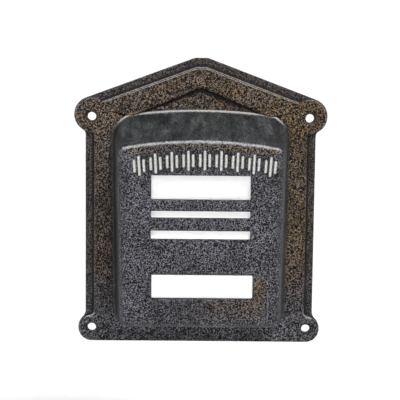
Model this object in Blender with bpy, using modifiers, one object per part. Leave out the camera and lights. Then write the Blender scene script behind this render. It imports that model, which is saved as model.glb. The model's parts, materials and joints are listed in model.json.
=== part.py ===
"""Door intercom panel: a cast, house-shaped front with an audio door station fitted inside its hood.

Frame: seen by the visitor, who stands at -Y, X is to the right and Z is up. The wall is the plane Y = 0.
The origin is on the wall, midway between the two lower fixing screws.
"""

from math import acos, asin, atan2, cos, degrees, hypot, pi, radians, sin, sqrt, tan

import bmesh
import bpy
from mathutils import Matrix

MM = 0.001
GAP = 0.3 * MM  # clearance between pieces that rest on each other

# Wall fixing: four screws on a rectangle.
HOLE_X = 75.6 * MM
HOLE_Z = (0.0, 149.2 * MM)
HOLE_R = 3.0 * MM
SINK_R = 4.8 * MM
HOLES = [(side * HOLE_X, z) for side in (-1, 1) for z in HOLE_Z]

# Outline of the cast plate.
SIDE_X = 80.0 * MM
APEX_Z = 190.2 * MM
APEX_FLAT = 4.6 * MM
UPPER_EAR_Z = 150.5 * MM
UPPER_EAR_R = 12.4 * MM
LOWER_EAR_R = 9.6 * MM
UPPER_FILLET = 4.0 * MM
LOWER_FILLET = 8.0 * MM
STRIP_WIDTH = 6.0 * MM  # low strip along the roof and the sides, outside the raised band

# Depths of the casting, from the wall outwards.
GASKET_T = 2.0 * MM
BACK_Y = -GASKET_T - GAP
FLANGE_Y = BACK_Y - 4.0 * MM
BAND_Y = FLANGE_Y - 2.5 * MM
HOOD_DEPTH = 38.0 * MM
FACE_Y = BAND_Y - HOOD_DEPTH
WALL = 3.0 * MM
INNER_Y = FACE_Y + WALL
EDGE_R = 3.0 * MM
MARK_H = 1.1 * MM
RECESS_DEPTH = 2.7 * MM
RECESS_APEX_Z = 169.9 * MM
RECESS_SLOPE = radians(22.6)  # a little steeper than the roof

# The hood's outline where it leaves the band, and at its face.
HOOD_BASE = dict(half=60.8 * MM, apex=152.6 * MM, foot=4.3 * MM, arch=380 * MM, shoulder=14 * MM, corner=8 * MM)
HOOD_FACE = dict(half=55.9 * MM, apex=137.0 * MM, foot=9.8 * MM, arch=290 * MM, shoulder=6 * MM, corner=6 * MM)
HOOD_TAPER = 0.963  # width at the foot over the width at the shoulders

# Openings in the hood's face: centre X, lowest Z, width, height.
CARD_WINDOW = (0.0, 97.0 * MM, 66.8 * MM, 16.4 * MM)
UPPER_SLOT = (0.0, 84.6 * MM, 66.8 * MM, 4.6 * MM)
LOWER_SLOT = (0.0, 70.1 * MM, 67.0 * MM, 5.7 * MM)
CALL_WINDOW = (1.3 * MM, 29.1 * MM, 69.6 * MM, 17.1 * MM)

# Raised marks: nine groups of three bars, on an arc above the card window.
MARK_GROUPS = 9
MARK_PITCH = 11.0 * MM
MARK_MIDDLE = (2.4 * MM, 123.6 * MM)
MARK_DROP = 4.0 * MM
BAR_PITCH = 3.2 * MM
BAR_WIDTH = 2.0 * MM
BAR_LENGTHS = (9.0 * MM, 13.6 * MM, 9.0 * MM)

# The module inside the hood.
FRAME_HALF = 42.0 * MM
FRAME_Z = (22.0 * MM, 128.0 * MM)
FRAME_WALL = 2.0 * MM
FRAME_FRONT_Y = INNER_Y + 4.8 * MM
FRAME_PLATE = 2.2 * MM
FRAME_REAR_Y = -9.3 * MM
PAD_Y = INNER_Y + 1.1 * MM
TAB_X = 46.8 * MM
TAB_R = 3.9 * MM
TAB_Z = (27.0 * MM, 123.0 * MM)
BOSS_R = 3.75 * MM
BOARD_Y = -21.0 * MM
BOARD_T = 1.6 * MM
BOARD_HALF = 39.5 * MM
BOARD_Z = (29.5 * MM, 120.5 * MM)
BOARD_POSTS = [(side * 36.0 * MM, z) for side in (-1, 1) for z in (34.0 * MM, 116.0 * MM)]
COVER_POSTS = [(side * 37.4 * MM, z) for side in (-1, 1) for z in (25.6 * MM, 124.4 * MM)]
COVER_T = 2.0 * MM
SPEAKER = (0.0, 80.0 * MM)
SPEAKER_R = 18.0 * MM
CLIP_RING = 20.6 * MM
CLIP_ANGLES = (20.0, 160.0, 270.0)
MICROPHONE = (27.0 * MM, 73.0 * MM)
BUTTON = (CALL_WINDOW[0], CALL_WINDOW[1] + CALL_WINDOW[3] / 2)
BUTTON_TRAVEL = 1.5 * MM
STEM_END_Y = -28.3 * MM
SPRING_REACH = 24.0 * MM
SPRING_REAR_Y = -33.5 * MM
TRIMMER = (24.0 * MM, 60.0 * MM)
TERMINALS = (0.0, 61.0 * MM)
TERMINAL_PITCH = 5.0 * MM
GROMMET = (0.0, 36.0 * MM)

MATERIALS = {
    "hammered_aluminium": ((0.085, 0.078, 0.070), 0.45, 0.6),
    "black_rubber": ((0.02, 0.02, 0.02), 0.8, 0.0),
    "clear_polycarbonate": ((0.90, 0.92, 0.93), 0.08, 0.0),
    "white_card": ((0.85, 0.85, 0.83), 0.8, 0.0),
    "opal_acrylic": ((0.88, 0.88, 0.86), 0.4, 0.0),
    "white_cloth": ((0.80, 0.80, 0.78), 0.9, 0.0),
    "white_plastic": ((0.82, 0.82, 0.80), 0.35, 0.0),
    "grey_plastic": ((0.22, 0.23, 0.24), 0.5, 0.0),
    "black_plastic": ((0.03, 0.03, 0.03), 0.4, 0.0),
    "zinc_steel": ((0.62, 0.62, 0.60), 0.3, 1.0),
    "ferrite": ((0.07, 0.07, 0.075), 0.6, 0.1),
    "paper_cone": ((0.05, 0.05, 0.055), 0.85, 0.0),
    "copper_wire": ((0.72, 0.38, 0.22), 0.35, 1.0),
    "green_laminate": ((0.03, 0.20, 0.09), 0.4, 0.0),
    "green_plastic": ((0.06, 0.36, 0.14), 0.45, 0.0),
    "blue_plastic": ((0.04, 0.14, 0.45), 0.4, 0.0),
}


def clear_scene():
    for obj in list(bpy.data.objects):
        bpy.data.objects.remove(obj, do_unlink=True)


def new_collection(name):
    collection = bpy.data.collections.new(name)
    bpy.context.scene.collection.children.link(collection)
    return collection


def new_material(name, colour, roughness, metallic):
    material = bpy.data.materials.new(name)
    material.use_nodes = True
    shader = material.node_tree.nodes["Principled BSDF"]
    shader.inputs["Base Color"].default_value = (*colour, 1.0)
    shader.inputs["Roughness"].default_value = roughness
    shader.inputs["Metallic"].default_value = metallic
    return material


clear_scene()
PANEL = new_collection("door_intercom_panel")
CUTTERS = new_collection("cutters")
PALETTE = {name: new_material(name, *look) for name, look in MATERIALS.items()}


# ---------------------------------------------------------------- outlines in the X, Z plane


def arc(centre, radius, start, end, count):
    """Points on a circle from one angle to another, in degrees."""
    angles = [radians(start + (end - start) * i / count) for i in range(count + 1)]
    return [(centre[0] + radius * cos(a), centre[1] + radius * sin(a)) for a in angles]


def circle(centre, radius, count=24):
    """A hole's outline. Its first point is off the horizontal, so that no two points of a hole are level."""
    first = 7.0
    return arc(centre, radius, first, first + 360 * (count - 1) / count, count - 1)


def rectangle(x0, x1, z0, z1):
    return [(x0, z0), (x1, z0), (x1, z1), (x0, z1)]


def opening(place, margin=0.0):
    """Rectangle of an opening given as centre X, lowest Z, width and height, grown by a margin."""
    x, z, width, height = place
    return rectangle(x - width / 2 - margin, x + width / 2 + margin, z - margin, z + height + margin)


def mirrored(right_half):
    """Closes an outline whose right half runs from the top of the centre line to its bottom."""
    return right_half + [(-x, z) for x, z in reversed(right_half)]


def roof_slope():
    """Angle of the roof line, from the end of the ridge's flat to its tangent on the upper ear."""
    run = HOLE_X - APEX_FLAT
    fall = APEX_Z - UPPER_EAR_Z
    return atan2(fall, run) - asin(UPPER_EAR_R / hypot(run, fall))


def ear_fillet(ear, radius, side, fillet, direction):
    """Contact angle on the ear, in degrees, and the centre of the fillet between the ear and the side line."""
    reach = radius + fillet
    across = side + fillet - ear[0]
    angle = degrees(acos(across / reach))
    centre = (side + fillet, ear[1] + direction * sqrt(reach**2 - across**2))
    return direction * angle, centre


def house_outline(line_inset, ear_inset, upper_fillet, lower_fillet):
    """The plate's outline, with its straight lines and its ears moved in by separate amounts."""
    slope = roof_slope()
    side = SIDE_X - line_inset
    upper, upper_r = (HOLE_X, UPPER_EAR_Z), UPPER_EAR_R - ear_inset
    lower, lower_r = (HOLE_X, 0.0), LOWER_EAR_R - ear_inset
    top = 90 - degrees(slope) + degrees(acos(min(1.0, (UPPER_EAR_R - line_inset) / upper_r)))
    upper_end, upper_centre = ear_fillet(upper, upper_r, side, upper_fillet, -1)
    lower_start, lower_centre = ear_fillet(lower, lower_r, side, lower_fillet, 1)
    half = [(APEX_FLAT - line_inset * tan(slope / 2), APEX_Z - line_inset)]
    half += arc(upper, upper_r, top, upper_end, 10)
    half += arc(upper_centre, upper_fillet, 180 + upper_end, 180, 4)[1:]
    half += arc(lower_centre, lower_fillet, 180, 180 + lower_start, 4)
    half += arc(lower, lower_r, lower_start, -90, 9)[1:]
    return mirrored(half)


def hood_outline(y, inset):
    """The hood's outline at one depth: an arched top, rounded shoulders and a slightly narrower foot."""
    t = (BAND_Y - y) / HOOD_DEPTH
    size = {key: HOOD_BASE[key] + (HOOD_FACE[key] - HOOD_BASE[key]) * t for key in HOOD_BASE}
    half_width = size["half"] - inset
    apex = size["apex"] - inset
    foot = size["foot"] + inset
    arch = size["arch"] - inset
    shoulder = max(size["shoulder"] - inset, 1.5 * MM)
    corner = max(size["corner"] - inset, 1.5 * MM)
    across = half_width - shoulder
    up = sqrt((arch - shoulder) ** 2 - across**2)
    lean = degrees(atan2(up, across))
    half = arc((0, apex - arch), arch, 90, lean, 8)[1:]
    half += arc((across, apex - arch + up), shoulder, lean, 0, 6)[1:]
    half += arc((half_width - corner, foot + corner), corner, 0, -90, 5)
    narrow = (1 - HOOD_TAPER) / (apex - foot)
    return mirrored([(x * (1 - narrow * (apex - z)), z) for x, z in half])


# ---------------------------------------------------------------- solids


def add_object(name, mesh, material, collection=PANEL):
    obj = bpy.data.objects.new(name, mesh)
    collection.objects.link(obj)
    if material:
        obj.data.materials.append(PALETTE[material])
    if collection is CUTTERS:
        obj.hide_render = True
        obj.display_type = "WIRE"
    return obj


def flat(name, loops, front, back, material=None, collection=PANEL):
    """A sheet cut to an outline, the first loop, with any holes, the other loops, between two depths."""
    curve = bpy.data.curves.new(name, "CURVE")
    curve.dimensions = "2D"
    curve.fill_mode = "BOTH"
    curve.extrude = (back - front) / 2
    for loop in loops:
        spline = curve.splines.new("POLY")
        spline.points.add(len(loop) - 1)
        spline.use_cyclic_u = True
        for point, (x, z) in zip(spline.points, loop):
            point.co = (x, z, 0, 1)
    guide = bpy.data.objects.new(name + "_outline", curve)
    guide.matrix_world = Matrix.Translation((0, (front + back) / 2, 0)) @ Matrix.Rotation(pi / 2, 4, "X")
    bpy.context.scene.collection.objects.link(guide)
    return meshed(guide, name, material, collection)


def meshed(guide, name, material, collection=PANEL):
    """Turns a curve into a mesh object of its own, with its loose caps welded."""
    bpy.context.view_layer.update()
    graph = bpy.context.evaluated_depsgraph_get()
    mesh = bpy.data.meshes.new_from_object(guide.evaluated_get(graph))
    mesh.name = name
    bm = bmesh.new()
    bm.from_mesh(mesh)
    bmesh.ops.remove_doubles(bm, verts=bm.verts, dist=0.002 * MM)
    bmesh.ops.recalc_face_normals(bm, faces=bm.faces)
    bm.to_mesh(mesh)
    bm.free()
    obj = add_object(name, mesh, None, collection)
    obj.data.materials.clear()
    if material:
        obj.data.materials.append(PALETTE[material])
    obj.matrix_world = guide.matrix_world
    bpy.data.objects.remove(guide, do_unlink=True)
    return obj


def add_block(bm, x0, x1, z0, z1, front, back):
    made = bmesh.ops.create_cube(bm, size=1.0)["verts"]
    bmesh.ops.scale(bm, vec=(x1 - x0, back - front, z1 - z0), verts=made)
    bmesh.ops.translate(bm, vec=((x0 + x1) / 2, (front + back) / 2, (z0 + z1) / 2), verts=made)
    return made


def add_rod(bm, place, radius, front, back, front_radius=None, segments=20):
    """A cylinder along Y, or a cone where its front end has a radius of its own."""
    made = bmesh.ops.create_cone(
        bm,
        cap_ends=True,
        segments=segments,
        radius1=radius,
        radius2=radius if front_radius is None else front_radius,
        depth=back - front,
    )["verts"]
    turn = Matrix.Translation((place[0], (front + back) / 2, place[1])) @ Matrix.Rotation(pi / 2, 4, "X")
    bmesh.ops.transform(bm, matrix=turn, verts=made)
    return made


def solid(name, bm, material=None, collection=PANEL):
    mesh = bpy.data.meshes.new(name)
    bm.to_mesh(mesh)
    bm.free()
    return add_object(name, mesh, material, collection)


def blocks(name, boxes, material=None, collection=PANEL):
    bm = bmesh.new()
    for box in boxes:
        add_block(bm, *box)
    return solid(name, bm, material, collection)


def rods(name, places, radius, front, back, material=None, collection=PANEL, **shape):
    bm = bmesh.new()
    for place in places:
        add_rod(bm, place, radius, front, back, **shape)
    return solid(name, bm, material, collection)


def turned(name, profile, place, material=None, collection=PANEL, steps=32):
    """A round piece about an axis along Y. The profile is a list of (radius, depth Y) points.

    It is a ring where the profile stays off the axis, and a solid where it starts and ends on it.
    """
    on_axis = profile[0][0] == 0
    points = [(radius, -y) for radius, y in profile]
    area = sum(a[0] * b[1] - b[0] * a[1] for a, b in zip(points, points[1:] + points[:1]))
    if area > 0:
        points.reverse()
    count = len(points)
    edges = [(i, (i + 1) % count) for i in range(count - 1 if on_axis else count)]
    mesh = bpy.data.meshes.new(name)
    mesh.from_pydata([(radius, 0, height) for radius, height in points], edges, [])
    obj = add_object(name, mesh, material, collection)
    obj.location = (place[0], 0, place[1])
    obj.rotation_euler = (pi / 2, 0, 0)
    screw = obj.modifiers.new("turn", "SCREW")
    screw.steps = screw.render_steps = steps
    screw.use_merge_vertices = True
    screw.merge_threshold = 0.005 * MM
    return obj


def loft(name, sections, collection=CUTTERS):
    """A closed body through outlines at several depths, front first, that all have the same count of points."""
    bm = bmesh.new()
    rings = [[bm.verts.new((x, y, z)) for x, z in outline] for y, outline in sections]
    for ring, behind in zip(rings, rings[1:]):
        for i in range(len(ring)):
            bm.faces.new((ring[i - 1], ring[i], behind[i], behind[i - 1]))
    bm.faces.new(rings[0])
    bm.faces.new(rings[-1])
    bmesh.ops.recalc_face_normals(bm, faces=bm.faces)
    return solid(name, bm, None, collection)


def boolean(obj, operation, other):
    modifier = obj.modifiers.new(other.name, "BOOLEAN")
    modifier.operation = operation
    modifier.solver = "EXACT"
    modifier.object = other


def soften(obj, width, segments=1):
    """Small rounded edges."""
    bevel = obj.modifiers.new("soft_edges", "BEVEL")
    bevel.width = width
    bevel.segments = segments
    bevel.limit_method = "ANGLE"
    bevel.angle_limit = radians(50)


def screw_set(name, places, head_r, head_front, head_back, shaft_r, tip):
    """Slotted pan-head screws driven forwards from behind."""
    profile = [
        (0, tip),
        (shaft_r, tip),
        (shaft_r, head_front),
        (head_r, head_front),
        (head_r * 0.85, head_back),
        (0, head_back),
    ]
    reach, half, depth = head_r * 1.2, head_r * 0.14, 0.6 * MM
    for number, (x, z) in enumerate(places, 1):
        screw = turned(f"{name}_{number}", profile, (x, z), "zinc_steel", steps=10)
        slot = (x - reach, x + reach, z - half, z + half, head_back - depth, head_back + MM)
        boolean(screw, "DIFFERENCE", blocks(f"{name}_{number}_slot", [slot], collection=CUTTERS))


# ---------------------------------------------------------------- cast front and its seal


def mark_bars():
    """Outlines of the raised bars: stadium shapes, each group turned to follow the arc."""
    outlines = []
    half = (MARK_GROUPS - 1) / 2
    for group in range(MARK_GROUPS):
        t = (group - half) / half
        middle_x = MARK_MIDDLE[0] + (group - half) * MARK_PITCH
        middle_z = MARK_MIDDLE[1] - MARK_DROP * t * t
        lean = radians(4.0) * t
        for bar, length in enumerate(BAR_LENGTHS):
            offset = (bar - 1) * BAR_PITCH
            straight = length / 2 - BAR_WIDTH / 2
            stadium = arc((offset, straight), BAR_WIDTH / 2, 0, 180, 3)
            stadium += arc((offset, -straight), BAR_WIDTH / 2, 180, 360, 3)
            outlines.append(
                [
                    (middle_x + x * cos(lean) + z * sin(lean), middle_z - x * sin(lean) + z * cos(lean))
                    for x, z in stadium
                ]
            )
    return outlines


def make_casting():
    parallel = house_outline(0.0, 0.0, UPPER_FILLET, LOWER_FILLET)
    casting = flat("front_casting", [parallel], FLANGE_Y, BACK_Y, "hammered_aluminium")
    band_outline = house_outline(STRIP_WIDTH, 0.4 * MM, 1.5 * MM, 3.0 * MM)
    band = flat("band", [band_outline], BAND_Y, FLANGE_Y + 2.0 * MM, collection=CUTTERS)
    boolean(casting, "UNION", band)

    foot_z = HOOD_BASE["apex"] - 8.0 * MM
    reach = (RECESS_APEX_Z - foot_z) / tan(RECESS_SLOPE)
    gable = [(0.0, RECESS_APEX_Z), (reach, foot_z), (-reach, foot_z)]
    recess = flat("recess", [gable], BAND_Y - 1 * MM, BAND_Y + RECESS_DEPTH, collection=CUTTERS)
    boolean(casting, "DIFFERENCE", recess)

    edge = [(FACE_Y + EDGE_R * (1 - sin(radians(a))), EDGE_R * (1 - cos(radians(a)))) for a in (90, 60, 30, 0)]
    skin = [(y, hood_outline(y, inset)) for y, inset in edge]
    skin.append((FLANGE_Y + 1.5 * MM, hood_outline(FLANGE_Y + 1.5 * MM, 0.0)))
    boolean(casting, "UNION", loft("hood_skin", skin))
    depths = (INNER_Y, BACK_Y + 1.0 * MM)
    cavity = loft("hood_cavity", [(y, hood_outline(y, WALL)) for y in depths])
    boolean(casting, "DIFFERENCE", cavity)

    windows = (CARD_WINDOW, UPPER_SLOT, LOWER_SLOT, CALL_WINDOW)
    edges = [opening(window) for window in windows]
    boxes = [(e[0][0], e[1][0], e[0][1], e[2][1], FACE_Y - 2 * MM, INNER_Y + 2 * MM) for e in edges]
    boolean(casting, "DIFFERENCE", blocks("window_cuts", boxes, collection=CUTTERS))

    tabs = [(side * TAB_X, z) for side in (-1, 1) for z in TAB_Z]
    bosses = rods("bosses", tabs, BOSS_R, INNER_Y - 1.0 * MM, FRAME_FRONT_Y - GAP, collection=CUTTERS)
    boolean(casting, "UNION", bosses)
    tapped = rods("tapped_holes", tabs, 1.5 * MM, INNER_Y + 0.6 * MM, FRAME_FRONT_Y + MM, collection=CUTTERS, segments=12)
    boolean(casting, "DIFFERENCE", tapped)

    marks = flat("marks", mark_bars(), FACE_Y - MARK_H, FACE_Y + 0.6 * MM, collection=CUTTERS)
    boolean(casting, "UNION", marks)

    holes = rods("screw_holes", HOLES, HOLE_R, BAND_Y - 2 * MM, BACK_Y + 2 * MM, collection=CUTTERS, segments=24)
    boolean(casting, "DIFFERENCE", holes)
    sink_depth = SINK_R - HOLE_R + 0.4 * MM
    sinks = rods(
        "countersinks",
        HOLES,
        HOLE_R - 0.4 * MM,
        BAND_Y - 0.5 * MM,
        BAND_Y + sink_depth,
        collection=CUTTERS,
        front_radius=SINK_R + 0.5 * MM,
        segments=24,
    )
    boolean(casting, "DIFFERENCE", sinks)
    return casting


def make_gasket():
    inset = 1.0 * MM
    outline = house_outline(inset, inset, UPPER_FILLET + inset, LOWER_FILLET + inset)
    inside = hood_outline(BACK_Y, WALL - 1.0 * MM)
    holes = [circle(place, HOLE_R + 0.4 * MM, 20) for place in HOLES]
    return flat("wall_gasket", [outline, inside, *holes], -GASKET_T, 0.0, "black_rubber")


# ---------------------------------------------------------------- pieces seen in the openings


def make_card_window():
    x, z, width, height = CARD_WINDOW
    seat = (x - 37 * MM, x + 37 * MM, z - 2.0 * MM, z + height + 2.0 * MM)
    front = INNER_Y + GAP
    lens = blocks("name_card_lens", [(*seat, front, front + 1.5 * MM)], "clear_polycarbonate")
    pane = opening(CARD_WINDOW, -0.4 * MM)
    box = (pane[0][0], pane[1][0], pane[0][1], pane[2][1], FACE_Y + 1.2 * MM, front + 0.8 * MM)
    boolean(lens, "UNION", blocks("lens_pane", [box], collection=CUTTERS))
    card_y = front + 1.5 * MM + GAP
    card = (seat[0] + MM, seat[1] - MM, seat[2] + 0.6 * MM, seat[3] - 0.6 * MM)
    blocks("name_card", [(*card, card_y, card_y + 0.3 * MM)], "white_card")
    diffuser_y = card_y + 0.3 * MM + GAP
    blocks("light_diffuser", [(*seat, diffuser_y, FRAME_FRONT_Y - GAP)], "opal_acrylic")


def make_cloth():
    front = INNER_Y + GAP
    box = (-37 * MM, 37 * MM, 66.5 * MM, 93.0 * MM, front, front + 0.5 * MM)
    blocks("speaker_cloth", [box], "white_cloth")


def make_call_button():
    x, z = BUTTON
    flange_front = INNER_Y + GAP
    flange_back = flange_front + 1.6 * MM
    half_w, half_h = CALL_WINDOW[2] / 2 + 2.6 * MM, CALL_WINDOW[3] / 2 + 2.0 * MM
    flange = (x - half_w, x + half_w, z - half_h, z + half_h, flange_front, flange_back)
    button = blocks("call_button", [flange], "white_plastic")
    cap = opening(CALL_WINDOW, -0.45 * MM)
    box = (cap[0][0], cap[1][0], cap[0][1], cap[2][1], FACE_Y + 1.0 * MM, flange_front + 0.8 * MM)
    bar = blocks("button_bar", [box], collection=CUTTERS)
    soften(bar, 0.6 * MM, 2)
    boolean(button, "UNION", bar)
    bm = bmesh.new()
    add_rod(bm, BUTTON, 2.5 * MM, flange_back - 0.8 * MM, STEM_END_Y, segments=16)
    for side in (-1, 1):
        add_rod(bm, (x + side * SPRING_REACH, z), 1.2 * MM, flange_back - 0.8 * MM, -35.6 * MM, segments=10)
    boolean(button, "UNION", solid("button_stems", bm, None, CUTTERS))


def make_button_springs():
    """Two compression springs between the button's flange and the floors of the frame's wells."""
    front = INNER_Y + GAP + 1.6 * MM + GAP
    wire, coil_r, turns, per_turn = 0.25 * MM, 2.2 * MM, 5, 7
    count = turns * per_turn
    length = SPRING_REAR_Y - front - 2 * wire
    for side, name in ((-1, "button_spring_left"), (1, "button_spring_right")):
        curve = bpy.data.curves.new(name, "CURVE")
        curve.dimensions = "3D"
        curve.bevel_depth = wire
        curve.bevel_resolution = 1
        curve.use_fill_caps = True
        spline = curve.splines.new("POLY")
        spline.points.add(count)
        for i, point in enumerate(spline.points):
            turn = 2 * pi * i / per_turn
            point.co = (coil_r * cos(turn), length * i / count, coil_r * sin(turn), 1)
        guide = bpy.data.objects.new(name + "_path", curve)
        guide.location = (BUTTON[0] + side * SPRING_REACH, front + wire, BUTTON[1])
        bpy.context.scene.collection.objects.link(guide)
        meshed(guide, name, "zinc_steel")


# ---------------------------------------------------------------- module frame and rear cover


def frame_outline():
    """The front plate's outline: a rectangle with four round-ended screw tabs."""
    half, low, high = FRAME_HALF + 0.5 * MM, FRAME_Z[0] - 0.5 * MM, FRAME_Z[1] + 0.5 * MM
    side = [(half, high)]
    for z in reversed(TAB_Z):
        root = TAB_R + 0.4 * MM
        side += [(half, z + root), *arc((TAB_X, z), TAB_R, 90, -90, 6), (half, z - root)]
    side.append((half, low))
    return mirrored(side)


def clip_places(radius):
    return [
        (SPEAKER[0] + radius * cos(radians(a)), SPEAKER[1] + radius * sin(radians(a))) for a in CLIP_ANGLES
    ]


def make_module_frame():
    plate_back = FRAME_FRONT_Y + FRAME_PLATE
    inside_plate = FRAME_FRONT_Y + 1.0 * MM
    light = rectangle(-33 * MM, 33 * MM, 98.6 * MM, 112.4 * MM)
    tabs = [circle((side * TAB_X, z), 1.7 * MM, 10) for side in (-1, 1) for z in TAB_Z]
    sound = circle(SPEAKER, 15.5 * MM)
    voice = circle(MICROPHONE, 4.9 * MM, 16)
    stem = circle(BUTTON, 3.1 * MM, 16)
    loops = [frame_outline(), light, sound, voice, stem, *tabs]
    frame = flat("module_frame", loops, FRAME_FRONT_Y, plate_back, "grey_plastic")

    inner = FRAME_HALF - FRAME_WALL
    outer_loop = rectangle(-FRAME_HALF, FRAME_HALF, *FRAME_Z)
    inner_loop = rectangle(-inner, inner, FRAME_Z[0] + FRAME_WALL, FRAME_Z[1] - FRAME_WALL)
    walls = flat("frame_walls", [outer_loop, inner_loop], inside_plate, FRAME_REAR_Y, collection=CUTTERS)
    boolean(frame, "UNION", walls)

    pad_edge = rectangle(-38 * MM, 38 * MM, 65.5 * MM, 94.0 * MM)
    holes = [circle(SPEAKER, 13.9 * MM), circle(MICROPHONE, 4.7 * MM, 16)]
    pad = flat("cloth_pad", [pad_edge, *holes], PAD_Y, inside_plate, collection=CUTTERS)
    boolean(frame, "UNION", pad)

    wells = [(BUTTON[0] + side * SPRING_REACH, BUTTON[1]) for side in (-1, 1)]
    bm = bmesh.new()
    for place in BOARD_POSTS:
        add_rod(bm, place, 2.8 * MM, inside_plate, BOARD_Y - GAP, segments=10)
    for place in COVER_POSTS:
        add_rod(bm, place, 3.2 * MM, inside_plate, FRAME_REAR_Y - 0.2 * MM, segments=10)
    for place in clip_places(CLIP_RING):
        add_rod(bm, place, 1.9 * MM, inside_plate, -35.5 * MM, segments=10)
    for place in wells:
        add_rod(bm, place, 4.3 * MM, inside_plate, SPRING_REAR_Y + 1.5 * MM, segments=14)
    boolean(frame, "UNION", solid("frame_posts", bm, None, CUTTERS))

    bm = bmesh.new()
    for place in BOARD_POSTS:
        add_rod(bm, place, 1.2 * MM, -27 * MM, BOARD_Y + MM, segments=8)
    for place in COVER_POSTS:
        add_rod(bm, place, 1.2 * MM, -16 * MM, FRAME_REAR_Y + MM, segments=8)
    for place in clip_places(CLIP_RING):
        add_rod(bm, place, 1.1 * MM, -38.4 * MM, -34 * MM, segments=8)
    for place in wells:
        add_rod(bm, place, 3.1 * MM, FRAME_FRONT_Y - MM, SPRING_REAR_Y + GAP, segments=14)
    boolean(frame, "DIFFERENCE", solid("frame_holes", bm, None, CUTTERS))


def make_back_cover():
    front = FRAME_REAR_Y + GAP
    back = front + COVER_T
    window = rectangle(-13 * MM, 13 * MM, TERMINALS[1] - 6.5 * MM, TERMINALS[1] + 6.5 * MM)
    holes = [circle(place, 1.4 * MM, 12) for place in COVER_POSTS]
    outline = rectangle(-FRAME_HALF, FRAME_HALF, *FRAME_Z)
    loops = [outline, window, circle(GROMMET, 6.2 * MM), circle(TRIMMER, 3.0 * MM, 16), *holes]
    flat("back_cover", loops, front, back, "grey_plastic")
    head = back + GAP
    screw_set("cover_screw", COVER_POSTS, 2.3 * MM, head, head + 1.5 * MM, 0.9 * MM, -15.5 * MM)
    profile = [
        (3.1 * MM, front - 1.6 * MM),
        (7.6 * MM, front - 1.6 * MM),
        (7.6 * MM, front - GAP),
        (5.9 * MM, front - GAP),
        (5.9 * MM, back + GAP),
        (7.6 * MM, back + GAP),
        (6.8 * MM, back + 1.9 * MM),
        (3.1 * MM, back + 1.9 * MM),
    ]
    turned("cable_grommet", profile, GROMMET, "black_rubber", steps=24)


def make_module_screws():
    places = [(side * TAB_X, z) for side in (-1, 1) for z in TAB_Z]
    head = FRAME_FRONT_Y + FRAME_PLATE + GAP
    screw_set("module_screw", places, 2.7 * MM, head, head + 2.0 * MM, 1.2 * MM, INNER_Y + 1.2 * MM)


# ---------------------------------------------------------------- loudspeaker and microphone


def make_speaker():
    rim = FRAME_FRONT_Y + FRAME_PLATE + GAP
    seat = rim + 1.0 * MM
    basket = [
        (SPEAKER_R, rim),
        (SPEAKER_R, seat),
        (16.8 * MM, seat),
        (11.6 * MM, -28.0 * MM),
        (5.0 * MM, -28.0 * MM),
        (5.0 * MM, -28.8 * MM),
        (11.0 * MM, -28.8 * MM),
        (16.4 * MM, rim),
    ]
    turned("speaker_basket", basket, SPEAKER, "zinc_steel", steps=28)
    surround = [
        (13.9 * MM, rim + 0.1 * MM),
        (14.8 * MM, rim - 0.2 * MM),
        (15.7 * MM, rim + 0.1 * MM),
        (15.7 * MM, rim + 0.5 * MM),
        (14.8 * MM, rim + 0.3 * MM),
        (13.9 * MM, rim + 0.5 * MM),
    ]
    turned("speaker_surround", surround, SPEAKER, "black_rubber", steps=28)
    cone = [
        (0, -33.3 * MM),
        (3.0 * MM, -32.9 * MM),
        (4.6 * MM, -31.9 * MM),
        (13.6 * MM, rim + 0.1 * MM),
        (13.6 * MM, rim + 0.6 * MM),
        (4.6 * MM, -31.3 * MM),
        (3.0 * MM, -32.3 * MM),
        (0, -32.7 * MM),
    ]
    turned("speaker_cone", cone, SPEAKER, "paper_cone", steps=28)
    coil = [(3.9 * MM, -31.0 * MM), (4.5 * MM, -31.0 * MM), (4.5 * MM, -28.0 * MM), (3.9 * MM, -28.0 * MM)]
    turned("voice_coil", coil, SPEAKER, "copper_wire", steps=24)
    magnet = [
        (0, -27.7 * MM),
        (9.0 * MM, -27.7 * MM),
        (9.0 * MM, -26.7 * MM),
        (11.0 * MM, -26.7 * MM),
        (11.0 * MM, -23.6 * MM),
        (10.4 * MM, -23.0 * MM),
        (0, -23.0 * MM),
    ]
    turned("speaker_magnet", magnet, SPEAKER, "ferrite", steps=28)
    make_speaker_clips(seat + GAP)


def make_speaker_clips(front):
    """Three flat clips that hold the loudspeaker's rim against the frame."""
    back = front + 1.0 * MM
    places = clip_places(CLIP_RING)
    for number, (angle, place) in enumerate(zip(CLIP_ANGLES, places), 1):
        box = (-3.7 * MM, 2.6 * MM, -2.6 * MM, 2.6 * MM, front, back)
        clip = blocks(f"speaker_clip_{number}", [box], "zinc_steel")
        hole = rods(f"clip_hole_{number}", [(0, 0)], 1.1 * MM, front - MM, back + MM, collection=CUTTERS, segments=12)
        for obj in (clip, hole):
            obj.location = (place[0], 0, place[1])
            obj.rotation_euler = (0, -radians(angle), 0)
        boolean(clip, "DIFFERENCE", hole)
    head = back + GAP
    screw_set("clip_screw", places, 1.8 * MM, head, head + 1.2 * MM, 0.8 * MM, -38.0 * MM)


def make_microphone():
    rods("microphone", [MICROPHONE], 3.0 * MM, PAD_Y + 0.5 * MM, -38.6 * MM, "zinc_steel", segments=20)
    boot = [
        (3.3 * MM, PAD_Y + 0.3 * MM),
        (4.4 * MM, PAD_Y + 0.3 * MM),
        (4.4 * MM, -36.4 * MM),
        (0, -36.4 * MM),
    ]
    boot = [(0, -38.3 * MM), (3.3 * MM, -38.3 * MM), *boot]
    turned("microphone_boot", boot, MICROPHONE, "black_rubber", steps=20)


# ---------------------------------------------------------------- circuit board and what it carries


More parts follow.
